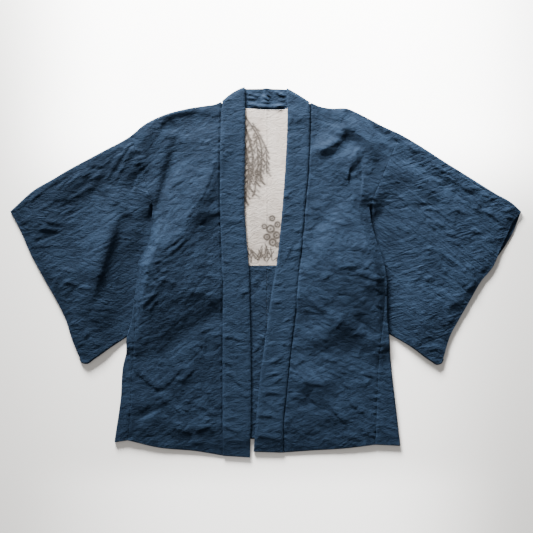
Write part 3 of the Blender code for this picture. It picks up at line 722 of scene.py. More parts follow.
# %% Creases of the collar
BAND_CREASES = creases("""
    # down the wearer's right front
    -98 383  -86 390  -75 383  0.9  4 4
    -80 382  -72 368  -58 360  0.8  6 4
    -66 346  -58 343  -50 342  0.7  6 5
    -94 273  -85 270  -76 264  0.9  6 3
    -97 182  -86 181  -74 175  0.9  5 3.5
    -66 170  -56 170  -46 171  0.7  5 3
    -98 110  -74 117  -47 114  1.7  12 9
    -101 25  -90 25  -80 20  1.0  5 3.5
    -80 4  -70 0  -60 -4  0.6  5 3
    -99 -58  -82 -52  -62 -50  1.1  6 3.5
    -66 -62  -54 -48  -38 -43  1.4  9 4
    -92 -104  -76 -111  -58 -121  0.9  8 6
    -98 -126  -88 -130  -76 -134  0.8  6 4
    -97 -145  -72 -147  -42 -161  1.4  9 3.5
    -62 -164  -52 -172  -40 -180  0.7  6 3.5
    -97 -205  -86 -204  -72 -214  1.4  8 4
    -97 -229  -78 -230  -56 -262  1.2  9 4
    -68 -240  -60 -250  -46 -258  0.9  6 3.5
    -100 -278  -88 -276  -72 -275  0.8  6 3.5
    -62 -270  -50 -276  -38 -281  0.8  6 3.5
    -97 -336  -82 -328  -56 -327  1.1  7 4
    -99 -345  -80 -351  -56 -362  1.5  10 4
    -90 -374  -70 -380  -48 -378  0.7  7 4
    # down the wearer's left front
    50 357  62 360  76 352  1.2  8 7
    45 317  60 315  76 322  -1.7  18 5
    64 336  72 342  80 352  0.7  5 5
    72 252  76 248  82 242  0.5  5 3.5
    34 166  44 171  56 170  1.5  6 3.5
    46 176  56 182  68 191  0.9  6 3.5
    31 124  46 131  62 129  1.5  8 5
    60 90  72 94  84 92  1.2  5 4
    36 19  50 44  60 78  1.2  9 5
    62 49  72 54  82 54  1.1  6 4
    46 27  60 36  78 41  1.1  7 4
    54 20  64 9  76 6  0.9  6 3.5
    24 -2  34 -4  44 -10  0.6  5 3.5
    12 -24  26 -25  42 -23  1.3  6 3.5
    44 -22  58 -27  72 -26  0.9  6 3.5
    20 -38  34 -40  46 -38  0.7  5 3.5
    9 -66  22 -68  40 -65  1.3  6 3.5
    40 -104  48 -106  56 -106  0.8  5 4
    28 -130  42 -132  58 -139  1.1  6 4
    32 -160  44 -162  58 -161  1.0  5 3.5
    4 -160  14 -162  26 -160  0.6  5 3.5
    4 -205  24 -197  43 -185  1.1  6 3.5
    -2 -234  20 -228  42 -222  1.3  8 3.5
    8 -254  25 -243  44 -227  1.1  7 3.5
    -14 -274  12 -270  39 -274  1.5  8 4
    -8 -280  8 -298  34 -315  1.0  8 3.5
    24 -290  32 -294  40 -292  0.8  5 3.5
    -24 -321  0 -322  38 -330  1.4  8 4
    14 -350  26 -356  38 -354  0.8  6 3.5
    -20 -366  4 -357  16 -348  0.8  6 3.5
    -26 -371  2 -370  39 -381  1.4  8 4
    -24 -386  -10 -392  6 -400  0.9  6 3.5
""")
NECK_CREASES = creases("""
    -47 404  -30 400  -12 396  1.1  4 3
    -47 394  -34 392  -20 390  1.1  4 3.5
    -10 399  -8 406  -9 414  -1.8  4 4
    -8 398  0 392  8 387  1.2  3.5 3
    0 404  6 399  14 394  0.9  3.5 3
    4 412  10 406  16 403  0.8  3.5 3
    19 411  30 402  47 396  1.6  5 4
    26 390  36 388  46 389  0.7  4 3.5
    -14 384  0 383  15 381  1.1  4 3.5
    20 377  32 375  47 377  1.0  4 3.5
    -44 380  -30 379  -18 380  0.6  4 3
""")
print(len(BAND_CREASES) + len(NECK_CREASES), "creases on the collar")

# %% [markdown]
# A few creases cross from the shoulder into the sleeve, over the armhole's seam, and so belong to
# two pieces. The lining, pressed under the fronts, has hardly any.

# %% Creases across the armholes and on the lining
ARMHOLE_CREASES = creases("""
    240 334  256 316  280 306  -1.6  5 5
    262 310  272 318  282 312  0.8  4 4
    -332 250  -318 270  -300 290  0.9  6 4
    -322 248  -306 266  -294 284  1.5  5 5
    -302 258  -290 274  -278 260  1.2  5 5
    -297 257  -284 255  -269 262  1.5  4 5
    -296 240  -284 246  -267 251  1.4  5 5
    -290 226  -278 236  -264 248  1.4  5 5
    -282 216  -270 228  -260 242  1.3  5 5
    -302 178  -296 202  -286 226  -1.6  13 4
    -318 262  -312 278  -300 292  0.8  5 4
    280 309  292 303  308 289  1.6  6 5
    312 293  328 279  344 267  1.6  7 5
""")
LINING_CREASES = creases("""
    -46 352  -20 349  14 350  0.35  5 4
    -44 150  -38 90  -36 40  0.4  7 5
    -10 22  4 30  22 24  0.4  6 5
""")
print(len(ARMHOLE_CREASES), "across the armholes,", len(LINING_CREASES), "on the lining")

# %% [markdown]
# ## Small wrinkles
# Between the creases the crinkled cloth is covered in small wrinkles, far too many to place one by
# one. A zone says where a family of them lies, which way they run and how long, wide and deep they
# are, and numbered random draws place them, so every run gives the same cloth.

# %% Zones of small wrinkles
SHORT_TO_LONG, FLAT_TO_DEEP, THIN_TO_WIDE = (0.4, 1.3), (0.3, 1.3), (0.7, 1.3)
SUNKEN_OR_RAISED, WRINKLE_BOW, WIDER_ABOVE = [-0.7, 1.0], 0.22, 2.0
Zone = namedtuple("Zone", "x y reach_x reach_y angle spread count length width depth")
ZONES = {"front": table(Zone, """
    -185 290  95 95  10 22  110  22 2.5 0.28
    -180 90  85 140  12 24  200  24 2.5 0.31
    -262 5  34 55  4 34  60  20 2.5 0.50
    -195 -150  105 150  6 22  170  26 2.5 0.25
    -205 -330  110 90  2 26  120  26 2.5 0.28
    180 290  95 95  -8 24  110  22 2.5 0.28
    170 110  95 130  -6 24  190  24 2.5 0.31
    165 -120  110 130  -6 22  190  26 2.5 0.31
    150 -320  115 95  -8 24  150  26 2.5 0.28
"""), "sleeve": table(Zone, """
    -450 165  120 55  34 18  110  26 2.5 0.34
    -330 235  60 60  46 22  60  22 2.5 0.31
    -450 30  110 120  6 50  170  16 2.5 0.22
    -380 -90  90 90  -6 40  120  18 2.5 0.25
    420 200  130 80  -30 16  150  24 2.5 0.37
    400 60  120 90  -16 26  170  22 2.5 0.34
    350 -80  90 90  -6 30  140  22 2.5 0.31
"""), "band": table(Zone, """
    -74 20  34 390  4 26  150  16 2.3 0.25
    34 0  60 390  2 26  170  16 2.3 0.25
    0 398  90 24  4 40  60  12 2.3 0.22
"""), "facing": table(Zone, """
    0 -170  45 200  32 30  80  34 5.0 1.20
""")}


def wrinkles_of(piece, seed):
    """The creases that the zones of one kind of piece stand for."""
    draw = np.random.default_rng(seed)
    rows = []
    for zone in ZONES[piece]:
        for _ in range(int(zone.count)):
            angle, away = draw.uniform(0, 2 * np.pi), np.sqrt(draw.uniform())
            x = zone.x + zone.reach_x * away * np.cos(angle)
            y = zone.y + zone.reach_y * away * np.sin(angle)
            turn = np.radians(zone.angle + zone.spread * draw.normal())
            half = zone.length * draw.uniform(*SHORT_TO_LONG) / 2
            run = half * np.array([np.cos(turn), np.sin(turn)])
            bow = half * draw.normal(0, WRINKLE_BOW) * np.array([-np.sin(turn), np.cos(turn)])
            rise = zone.depth * draw.choice(SUNKEN_OR_RAISED) * draw.uniform(*FLAT_TO_DEEP)
            width = zone.width * draw.uniform(*THIN_TO_WIDE)
            rows.append(Crease(x - run[0], y - run[1], x + bow[0], y + bow[1],
                               x + run[0], y + run[1], rise, WIDER_ABOVE * width, width))
    return rows


WRINKLES = {piece: wrinkles_of(piece, seed) for seed, piece in
            enumerate(("front", "sleeve", "band", "facing"))}
print({piece: len(rows) for piece, rows in WRINKLES.items()}, "small wrinkles")

# %% [markdown]
# Smaller still is the crinkle of the cloth itself. Smooth noise does this: random heights on a
# coarse lattice, with an even blend from one to the next. Wherever one such field passes through
# zero the cloth sinks in a fine wandering line, and two others give it its restless swell. Each
# field has a seed, a whole number of its own, in every call below.

# %% Crinkle and puckers
LATTICE, LINE_DEPTH, LINE_WIDTH, LINE_BEND = 97, -0.35, 0.30, 9
FINE_SWELL, BROAD_SWELL = 0.05, 0.35


def crinkle(x, y, size_x, size_y, seed, turn=0.0):
    """Smooth noise between -1 and 1, with bumps of about the given sizes."""
    knots = np.random.default_rng(seed).uniform(-1, 1, (LATTICE, LATTICE))
    angle = np.radians(turn)
    along = (x * np.cos(angle) + y * np.sin(angle)) / size_x
    across = (y * np.cos(angle) - x * np.sin(angle)) / size_y
    column, row = np.floor(along).astype(int), np.floor(across).astype(int)
    u, v = smooth_step(along - column), smooth_step(across - row)

    def knot(step_x, step_y):
        """Heights of one corner of each lattice cell."""
        return knots[(row + step_y) % LATTICE, (column + step_x) % LATTICE]

    return ((1 - v) * ((1 - u) * knot(0, 0) + u * knot(1, 0))
            + v * ((1 - u) * knot(0, 1) + u * knot(1, 1)))


def crinkled(x, y, seed, turn=0.0):
    """The crinkle of the navy cloth: longer along the weft than across it."""
    bend = LINE_BEND * crinkle(x, y, 30, 24, seed + 3, turn)
    line = crinkle(x + bend, y + bend, 26, 12, seed, turn)
    sunken_lines = LINE_DEPTH * np.exp(-(line / LINE_WIDTH) ** 2)
    return (sunken_lines + FINE_SWELL * crinkle(x, y, 8, 4, seed + 1, turn)
            + BROAD_SWELL * crinkle(x, y, 34, 21, seed + 2, turn))


def seam_pull(distance, along, seed, dip=0.7, width=3.0, pucker=0.7, reach=11.0, pitch=7.0):
    """A seam sinks along its stitches and pulls small puckers into the cloth beside it."""
    ripple = crinkle(along, distance * 0.3, pitch, 9.0, seed)
    return pucker * ripple * np.exp(-distance / reach) - dip * np.exp(-(distance / width) ** 2)


print("the crinkle repeats after", LATTICE, "knots")

# %% [markdown]
# ## How high each cloth lies
# The order from the surface up is: back, sleeve corner or lining, front, collar band. Each piece
# has a rest height, the large folds are added, and the sum is kept from sinking into the layer
# below. Creases and wrinkles come last, on the upper faces alone: an underside that rests on a
# flat surface is pressed flat by it. Heights ease from one to another over a strip, and a pair of
# distances says where such a change begins and where it is over.

# %% Easing from one height to another
EASE = 1.0


def keep_above(height, low):
    """Ease a height off so that it never comes below low."""
    over = height - low
    return low + (over + np.sqrt(over * over + EASE)) / 2


def fade(distance, pair):
    """One up to the near distance of a pair, fading to zero at the far one."""
    near, far = pair
    return 1 - smooth_step((distance - near) / (far - near))


def blend(start, end, share):
    """From start to end, by a share between 0 and 1."""
    return start + (end - start) * share


def near_hidden(side, x, y, pair):
    """One over the part of the sleeve that lies under the body, fading to zero round it."""
    return fade(far_from(side.hidden, x, y), pair)


print("limits are eased over about", EASE, "mm")

# %% [markdown]
# The back lies flat on the surface, and rises only where the sleeve's inner corner is tucked under
# it. Its hem is a little lower at the sides than at the centre.

# %% Height of the back
LIFT, PAST_HEM = (20.0, 46.0), (6.0, 36.0)


def back_height(side, x, y):
    """Middle of the back cloth."""
    return blend(FLAT, BACK_OVER_SLEEVE, near_hidden(side, x, y, LIFT))


def back_hem(x):
    """Level of the back's hem."""
    return BACK_HEM_Y - BACK_HEM_DROP * (np.abs(x) / BACK_HALF_WIDTH) ** 2


def past_hem(x, y):
    """One where the fronts hang past the back's hem and sink to the surface."""
    return 1 - fade(back_hem(x) - y, PAST_HEM)


print(f"the back rises from {FLAT} to {BACK_OVER_SLEEVE:.2f} mm over the sleeve's corner")

# %% [markdown]
# The front puffs up over the sleeve's corner and comes down along its free side and at the hem.
# Folds die away near the foot of the armhole, where the stitches hold the cloth. Its surface is
# the sum of creases, wrinkles, crinkle and the pull of three seams.

# %% Height of the front
RAISE, NEAR_HEM = (26.0, 75.0), (-42.0, 10.0)
HELD, HELD_SHARE = (10.0, 90.0), 0.65
NEAR_APEX, APEX_SHARE = (12.0, 60.0), 0.2
SIDE_LIFT, SIDE_EASE = 3.0, 26.0
OVER_BACK, OVER_SURFACE, HEM_CLEAR, HEM_CALM = 0.4, 0.05, 0.3, 0.6
FRONT_GRAIN = {"right": 38.0, "left": -10.0}


def from_apex(side, x, y):
    """Distance from the foot of the armhole's seam."""
    return np.hypot(x - side.apex.x, y - side.apex.y)


def armhole_seam(side, x, y):
    """Distance from the seam between sleeve and body."""
    return distance_to([side.armhole, side.apex], x, y)


def calmer(side, x, y):
    """How much of a fold is left near the foot of the armhole."""
    return 1 - HELD_SHARE * fade(from_apex(side, x, y), HELD)


def front_surface(side, x, y):
    """What lies on the front's broad form: creases, wrinkles, crinkle and seams."""
    detail = (all_ridges(FRONT_CREASES, x, y) + all_ridges(ARMHOLE_CREASES, x, y)
              + all_ridges(WRINKLES["front"], x, y)
              + crinkled(x, y, 20 + side.turn, FRONT_GRAIN[side.name]))
    detail = detail + seam_pull(distance_to(side.seam, x, y), y, 30 + side.turn, dip=1.3, width=2.2)
    detail = detail + seam_pull(armhole_seam(side, x, y), y, 32 + side.turn, dip=0.15)
    return detail + seam_pull(distance_to(side.gusset_seam, x, y), y, 34 + side.turn, dip=0.4)


def front_height(side, x, y):
    """Middle of the front cloth, over the back and over the sleeve's hidden corner."""
    raised = near_hidden(side, x, y, RAISE)
    rest = blend(FRONT_REST, FRONT_OVER_SLEEVE + FRONT_PUFF, raised)
    low = blend(FRONT_LOW, FRONT_OVER_SLEEVE, raised)
    height = keep_above(rest + folds_on("front", x, y) * calmer(side, x, y), low)
    back = back_height(side, x, y)
    free = smooth_step(distance_to([*side.free, *side.gusset_edge], x, y) / SIDE_EASE)
    free = free + (1 - free) * APEX_SHARE * fade(from_apex(side, x, y), NEAR_APEX)
    height = blend(back + SIDE_LIFT, height, free)
    height = blend(height, low, 1 - fade(back_hem(x) - y, NEAR_HEM))
    sunk = past_hem(x, y)
    height = blend(height, FLAT + HEM_CLEAR, sunk)
    lowest = blend(back + CLOTH + OVER_BACK, FLAT + OVER_SURFACE, sunk)
    return keep_above(height + front_surface(side, x, y) * (1 - HEM_CALM * sunk), lowest)


print(f"the front puffs up to {FRONT_OVER_SLEEVE + FRONT_PUFF:.2f} mm over the sleeve's corner")

# %% [markdown]
# The sleeve is pressed flat where the body lies on it. Along the armhole it takes the height of
# the front that it is sewn to, and towards the cuff it sinks to a thin edge.

# %% Height of the sleeve
PRESS, FOOT_REACH, PRESS_AT_FOOT = (8.0, 92.0), (10.0, 130.0), (2.0, 44.0)
NEAR_ARMHOLE, SEWN, SEAM_FOOT = (60.0, 180.0), (1.0, 34.0), (1.0, 9.0)
CUFF_DIP, CUFF_REACH, SLEEVE_GRAIN, SLEEVE_SINK = 2.6, 14.0, -31.7, 0.35


def sleeve_height(side, x, y):
    """Middle of the sleeve's upper leaf."""
    from_shoulder = np.hypot(x - side.armhole.x, y - side.armhole.y)
    rest = blend(SLEEVE_REST, FRONT_REST, fade(from_shoulder, NEAR_ARMHOLE))
    folds = (folds_on("sleeve", x, y) + folds_on("front", x, y)) * calmer(side, x, y)
    loose = keep_above(rest + folds, SLEEVE_FLAT)
    detail = (all_ridges(SLEEVE_CREASES, x, y) + all_ridges(ARMHOLE_CREASES, x, y)
              + all_ridges(WRINKLES["sleeve"], x, y)
              + crinkled(x, y, 40 + side.turn, side.turn * SLEEVE_GRAIN))
    detail = detail + seam_pull(armhole_seam(side, x, y), y, 32 + side.turn, dip=0.15)
    detail = detail - CUFF_DIP * np.exp(-(distance_to(side.cuff, x, y) / CUFF_REACH) ** 2)
    loose = keep_above(loose + detail, SLEEVE_FLAT - SLEEVE_SINK)
    pressed = blend(near_hidden(side, x, y, PRESS), near_hidden(side, x, y, PRESS_AT_FOOT),
                    fade(from_apex(side, x, y), FOOT_REACH))
    height = blend(loose, SLEEVE_FLAT, pressed)
    sewn = fade(armhole_seam(side, x, y), SEWN) * (1 - near_hidden(side, x, y, SEAM_FOOT))
    return blend(height, front_height(side, x, y), sewn)


print(f"a sleeve rests at {SLEEVE_REST} mm, and at {SLEEVE_FLAT:.2f} mm where it is pressed")

# %% [markdown]
# The collar bands follow the folds of the fronts below them, but only in part, because they are
# stiffer. Past the back's hem they sink towards the surface with the fronts.

# %% Height of the collar bands
BAND_PAST_HEM, BAND_CLEAR, BAND_SINK = (-14.0, 38.0), 0.8, 0.1
COLLAR_PROUD, COLLAR_SHARE, COLLAR_CRINKLED = 0.4, 0.7, 0.8


def collar_height(x, y):
    """Middle of the collar bands where they lie down the fronts."""
    rest = COLLAR_REST + SEAM_GAP + COLLAR_PROUD + COLLAR_SHARE * folds_on("front", x, y)
    detail = (all_ridges(BAND_CREASES, x, y) + all_ridges(WRINKLES["band"], x, y)
              + COLLAR_CRINKLED * crinkled(x, y, 50))
    height = keep_above(rest + detail, COLLAR_REST - BAND_SINK)
    return blend(height, BAND / 2 + BAND_CLEAR, 1 - fade(back_hem(x) - y, BAND_PAST_HEM))


print(f"the collar rests {COLLAR_PROUD} mm proud of the fronts")

# %% [markdown]
# Sleeve and body meet along the armhole, body and gusset along the side, body and collar down the
# front. These shared edges are worked out once, so that no gap or overlap opens between pieces.

# %% Edges that pieces share
FRONT_ROWS, BACK_ROWS = (84, 108, 160), (7, 9, 8)
FRONT_COLUMNS = 108
UNDER_ROWS = (8, 8)
SLEEVE_ROWS, SLEEVE_COLUMNS = (80, 84), 152


def top_fold(side):
    """The fold along the sleeve and shoulder, set in by its roll, parted at the armhole."""
    outline = trace(side.top, even(OUTLINE_STEPS))
    outward = outward_of(outline, (0, 0))
    leaf = outline - outward * (ROLL + CLOTH / 2)
    parting = np.argmin(np.hypot(*(outline - side.armhole).T))
    return leaf, outward, parting


def body_edge(side, at_armhole, at_free, at_gusset):
    """The body's outer edge: armhole seam, then free over the sleeve, then the gusset seam."""
    leaf, _, parting = top_fold(side)
    armhole = trace([leaf[parting], side.apex], even(at_armhole))
    free = trace(side.free, even(at_free))
    gusset = trace(side.gusset_seam, even(at_gusset))
    return np.vstack([armhole, free[1:], gusset])


def collar_seam(side):
    """The seam between front and collar, with a point level with each row of the front."""
    stops = shares(body_edge(side, *FRONT_ROWS))
    seam = trace(side.seam, stops)
    leaf, _, _ = top_fold(side)
    return pin(seam, leaf[-1], seam[-1])


def half_neckline(side):
    """The neckline's places between the shoulder and the centre back, on one side."""
    inner = [spot for spot in NECKLINE[1:-1] if (spot.x - CENTRE_X) * side.turn > 0]
    return inner[::-side.turn]


print("a front has", sum(FRONT_ROWS), "rows and", FRONT_COLUMNS, "columns")

# %% [markdown]
# ## From a plan to a piece of cloth
# A sheet could be a subdivided plane pushed about by modifiers. Here its points are worked out in
# rows between four edges, because neighbouring pieces then share those edges exactly. The sheets
# of one piece are welded along the edges where they meet, Solidify gives the wall, and a narrow
# Bevel rounds the rims so that they catch the light as cloth edges do.

# %% Build a piece
WELD = 0.00002
RIM, RIM_ANGLE = 0.0003, 55.0


def lay(plan, height):
    """A plan of points and their heights as one grid of places."""
    return np.concatenate([plan, np.broadcast_to(height, plan.shape[:-1])[..., None]], axis=-1)


def roll(lower, upper, outward):
    """Half a turn of cloth from the edge of a lower leaf round to the edge lying over it."""
    turns = []
    for angle in np.linspace(0, np.pi, ROLL_STEPS + 1):
        ring = lower + (1 - np.cos(angle)) / 2 * (upper - lower)
        ring[:, :2] += outward * ROLL * np.sin(angle)
        turns.append(ring)
    return np.array(turns)


def make_piece(name, grids, wall, material):
    """One closed piece of cloth, standing for the solid whose name it adds to."""
    spots, faces, start = [], [], 0
    for grid in grids:
        rows, columns = grid.shape[:2]
        number = start + np.arange(rows * columns).reshape(rows, columns)
        corners = (number[:-1, :-1], number[:-1, 1:], number[1:, 1:], number[1:, :-1])
        faces.append(np.stack(corners, axis=-1).reshape(-1, 4))
        spots.append(grid.reshape(-1, 3) / METRE)
        start += rows * columns
    mesh = bpy.data.meshes.new(name)
    mesh.from_pydata(np.concatenate(spots).tolist(), [], np.concatenate(faces).tolist())
    shape = bmesh.new()
    shape.from_mesh(mesh)
    bmesh.ops.remove_doubles(shape, verts=shape.verts, dist=WELD)
    bmesh.ops.recalc_face_normals(shape, faces=shape.faces)
    shape.to_mesh(mesh)
    shape.free()
    mesh.materials.append(material)
    mesh.shade_smooth()
    piece = bpy.data.objects.new(name, mesh)
    bpy.context.collection.objects.link(piece)
    thick = piece.modifiers.new("wall", "SOLIDIFY")
    thick.thickness = wall / METRE
    thick.offset = 0
    rim = piece.modifiers.new("rim", "BEVEL")
    rim.width = RIM
    rim.segments = 2
    rim.limit_method = "ANGLE"
    rim.angle_limit = np.radians(RIM_ANGLE)
    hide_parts(name.removesuffix("_cloth"))
    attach(piece, "root")
    area = sum(face.area for face in mesh.polygons)
    print(f"{name}: {len(mesh.polygons)} faces, {area:.4f} square metres of cloth")
    return piece


# %% [markdown]
# ## Finishes
# A finish is a tree of shader nodes. Sums in such a tree are easier to read as sums, so one small
# class stands for a value on its way between nodes and turns + and * into Math nodes.

# %% Shader maths
class Wire:
    """A value on its way between two nodes."""

    def __init__(self, recipe, socket):
        self.recipe, self.socket = recipe, socket

    def __add__(self, other):
        return self.recipe.sum("ADD", self, other)

    def __sub__(self, other):
        return self.recipe.sum("SUBTRACT", self, other)

    def __rsub__(self, other):
        return self.recipe.sum("SUBTRACT", other, self)

    def __mul__(self, other):
        return self.recipe.sum("MULTIPLY", self, other)

    __radd__, __rmul__ = __add__, __mul__


class Recipe:
    """The node tree of one finish."""

    def __init__(self, name):
        self.material = bpy.data.materials.new(name)
        self.material.use_nodes = True
        self.tree = self.material.node_tree
        self.shader = self.tree.nodes["Principled BSDF"]

    def node(self, kind, settings=None, values=None, out=0):
        """A node of a kind: its settings first, then the values or wires of its sockets."""
        made = self.tree.nodes.new(kind)
        for setting, choice in (settings or {}).items():
            if setting == "stops":
                self.set_stops(made.color_ramp, choice)
            else:
                setattr(made, setting, choice)
        for socket, value in (values or {}).items():
            self.feed(made.inputs[socket], value)
        return Wire(self, made.outputs[out])

    def sum(self, operation, *values):
        """A Math node."""
        return self.node("ShaderNodeMath", {"operation": operation}, dict(enumerate(values)))

    def set_stops(self, ramp, stops):
        """The places and colours of a colour ramp."""
        while len(ramp.elements) < len(stops):
            ramp.elements.new(1.0)
        for element, (place, colour) in zip(ramp.elements, stops):
            element.position, element.color = place, (*colour, 1)

    def feed(self, socket, value):
        """A wire is linked to a socket, and a plain value is set on it."""
        if isinstance(value, Wire):
            self.tree.links.new(value.socket, socket)
        else:
            socket.default_value = value

    def finish(self, **values):
        """Set or feed the shader's own sockets."""
        for name, value in values.items():
            self.feed(self.shader.inputs[name.replace("_", " ").title()], value)
        return self.material


print("shader maths is ready")

# %% [markdown]
# The navy cloth is a crinkled crepe. Fine sunken lines cross it two ways, and in patches one way or
# the other is the stronger. Between them lie shorter lines, slubs (short thick places in the yarn)
# and an even crumple. All of these are finer than the mesh, so a Bump node stands for them. The
# slubs, the crumple and the broad patches change the colour a little as well, and along the sunken
# lines the colour is painted darker: painted shade in the creases. Each piece has its own two ways,
# as its grain and the lie of its folds differ, and the collar's colour is painted a little lighter:
# painted light on the band.

# %% Navy cloth
NAVY_DARK, NAVY_LIGHT = (0.0040, 0.0084, 0.0170), (0.0082, 0.0162, 0.0310)


def navy_cloth(name, turns, stretch, depth, tone_and_painted_light=-0.02):
    """Crinkled navy crepe: which two ways its creases run, how long and how deep they are, and a
    shift of its tone; the collar's lighter shift is painted light.
    """
    recipe = Recipe(name)
    place = recipe.node("ShaderNodeTexCoord", out=3)

    def noise(turn, scale, longer, distortion, detail=1.0):
        """Noise drawn out along one way. The higher the scale, the finer it is."""
        grain = recipe.node("ShaderNodeMapping", {}, {0: place, 2: (0, 0, -np.radians(turn))})
        size = (scale / longer, scale, scale)
        stretched = recipe.node("ShaderNodeMapping", {}, {0: grain, 3: size})
        return recipe.node("ShaderNodeTexNoise", {}, {
            0: stretched, "Scale": 1.0, "Detail": detail, "Roughness": 0.55,
            "Distortion": distortion})

    def creased(field, width):
        """Thin sunken lines where a noise field passes through its middle value."""
        away = recipe.sum("ABSOLUTE", (field - 0.5) * (1 / width))
        return recipe.sum("MINIMUM", away, 1.0)

    one_way, other_way = turns
    broad = noise(one_way, 16, 1.6, 0.0, 2.0)
    patches = recipe.sum("MINIMUM", recipe.sum("MAXIMUM", broad * 5.0 - 2.0, 0.0), 1.0)
    long_lines = creased(noise(one_way, 62, stretch, 0.2, 1.5), 0.17) * (0.25 + patches)
    cross_lines = creased(noise(other_way, 74, 0.8 * stretch, 0.3, 1.5), 0.17) * (1.15 - patches)
    short_lines = creased(noise(one_way, 165, 0.5 * stretch, 0.5), 0.16)
    slubs = noise(other_way, 420, 3.5, 0.4, 2.0)
    crumple = noise(one_way, 150, 1.4, 0.5, 2.0)
    lines = long_lines + cross_lines
    relief = (lines * (0.24 * depth) + short_lines * (0.08 * depth) + slubs * 0.40
              + crumple * 0.25)
    bump = recipe.node("ShaderNodeBump", {}, {"Strength": 1.0, "Distance": 0.0016,
                                              "Height": relief})
    # painted shade: the colour is darker along the sunken lines, where the creases are; the last
    # term shifts the tone, and on the collar that shift is painted light
    tone = slubs * 0.60 + crumple * 0.10 + broad * 0.12 + lines * 0.18 + tone_and_painted_light
    colour = recipe.node("ShaderNodeValToRGB",
                         {"stops": [(0.38, NAVY_DARK), (0.62, NAVY_LIGHT)]}, {0: tone})
    material = recipe.finish(base_color=colour, roughness=0.80 + (slubs - 0.5) * 0.15,
                             normal=bump)
    recipe.shader.inputs["Specular IOR Level"].default_value = 0.04
    return material


NAVY = {
    "right_sleeve": navy_cloth("navy_crepe_right_sleeve", (30, -8), 5.0, 1.1),
    "left_sleeve": navy_cloth("navy_crepe_left_sleeve", (-38, 14), 6.0, 1.4),
    "right_front": navy_cloth("navy_crepe_right_front", (40, 12), 3.5, 0.7),
    "left_front": navy_cloth("navy_crepe_left_front", (-22, 24), 3.5, 0.6),
    # the collar's colour is painted lighter than the rest: painted light on the raised band
    "collar": navy_cloth("navy_crepe_collar", (3, 24), 3.5, 0.7, 0.05),
    "turned_up": navy_cloth("navy_crepe_turned_up", (34, -20), 4.0, 1.4),
}
print("navy cloth for:", ", ".join(NAVY))

# %% [markdown]
# The lining is a pale plain silk with an ink painting, as the linings of such jackets often have.
# This one is a general design of hanging willow twigs, a few ringed blossoms and grass over soft
# washes. It could be painted as an image. Here each stroke is a soft line with its own width,
# worked out at every point of the panel.

# %% Places of the ink strokes
Stroke = namedtuple("Stroke", "x0 y0 x1 y1 x2 y2 width strength")
TWIGS = [
    Stroke(-47, 330, -30, 262, -38, 188, 3.0, 1.0),
    Stroke(-47, 352, -14, 296, -12, 206, 2.6, 1.0),
    Stroke(-30, 336, -2, 282, 2, 224, 2.0, 0.9),
    Stroke(-47, 290, -40, 238, -46, 160, 2.4, 1.0),
    Stroke(-22, 304, -18, 250, -26, 176, 2.0, 0.9),
]
Blossom = namedtuple("Blossom", "x y size")
BLOSSOMS = [Blossom(10, 98, 8.0), Blossom(24, 84, 6.5), Blossom(2, 80, 6.0), Blossom(15, 68, 7.0),
            Blossom(26, 108, 5.5), Blossom(-4, 104, 4.6), Blossom(14, 122, 5.2),
            Blossom(26, 62, 4.4)]
# the two broad washes low on the panel make its lower part darker
Wash = namedtuple("Wash", "x y wide high strength")
WASHES = [Wash(-34, 258, 18, 70, 0.50), Wash(-12, 236, 14, 34, 0.45), Wash(13, 88, 21, 30, 0.55),
          Wash(-4, 38, 46, 14, 0.42), Wash(-4, 84, 60, 80, 0.40)]
print(len(TWIGS), "twigs,", len(BLOSSOMS), "blossoms and", len(WASHES), "washes")

# %% [markdown]
# A twig has short leaves to its left and right in turn, a blossom is a ring with a dot, and blades
# of grass lean at random. Where strokes cross, the darkest counts, as it does with real ink. The
# washes are laid over them all.

# %% Ink on the lining
LEAF_LENGTH, LEAF_WIDTH, LEAF_START, LEAF_STEP, LEAF_LEAN = 13.0, 2.8, 4.0, 6.5, 34.0
RING_WIDTH, DOT_WIDTH = 2.0, 2.2
BLADES, BLADE_WIDTH, BLADE_STRENGTH, BLADE_LEAN = 26, 1.3, 0.8, 26.0
MEADOW_X, MEADOW_Y, BLADE_LENGTH = (-44, 30), (20, 40), (12, 30)


def stroke_at(x, y, path, width, strength):
    """One soft brush stroke."""
    return strength * np.exp(-(distance_to(path, x, y) / width) ** 2)


def tip_of(foot, length, lean):
    """Where a straight stroke from a foot ends."""
    return (foot[0] + length * np.cos(lean), foot[1] + length * np.sin(lean))


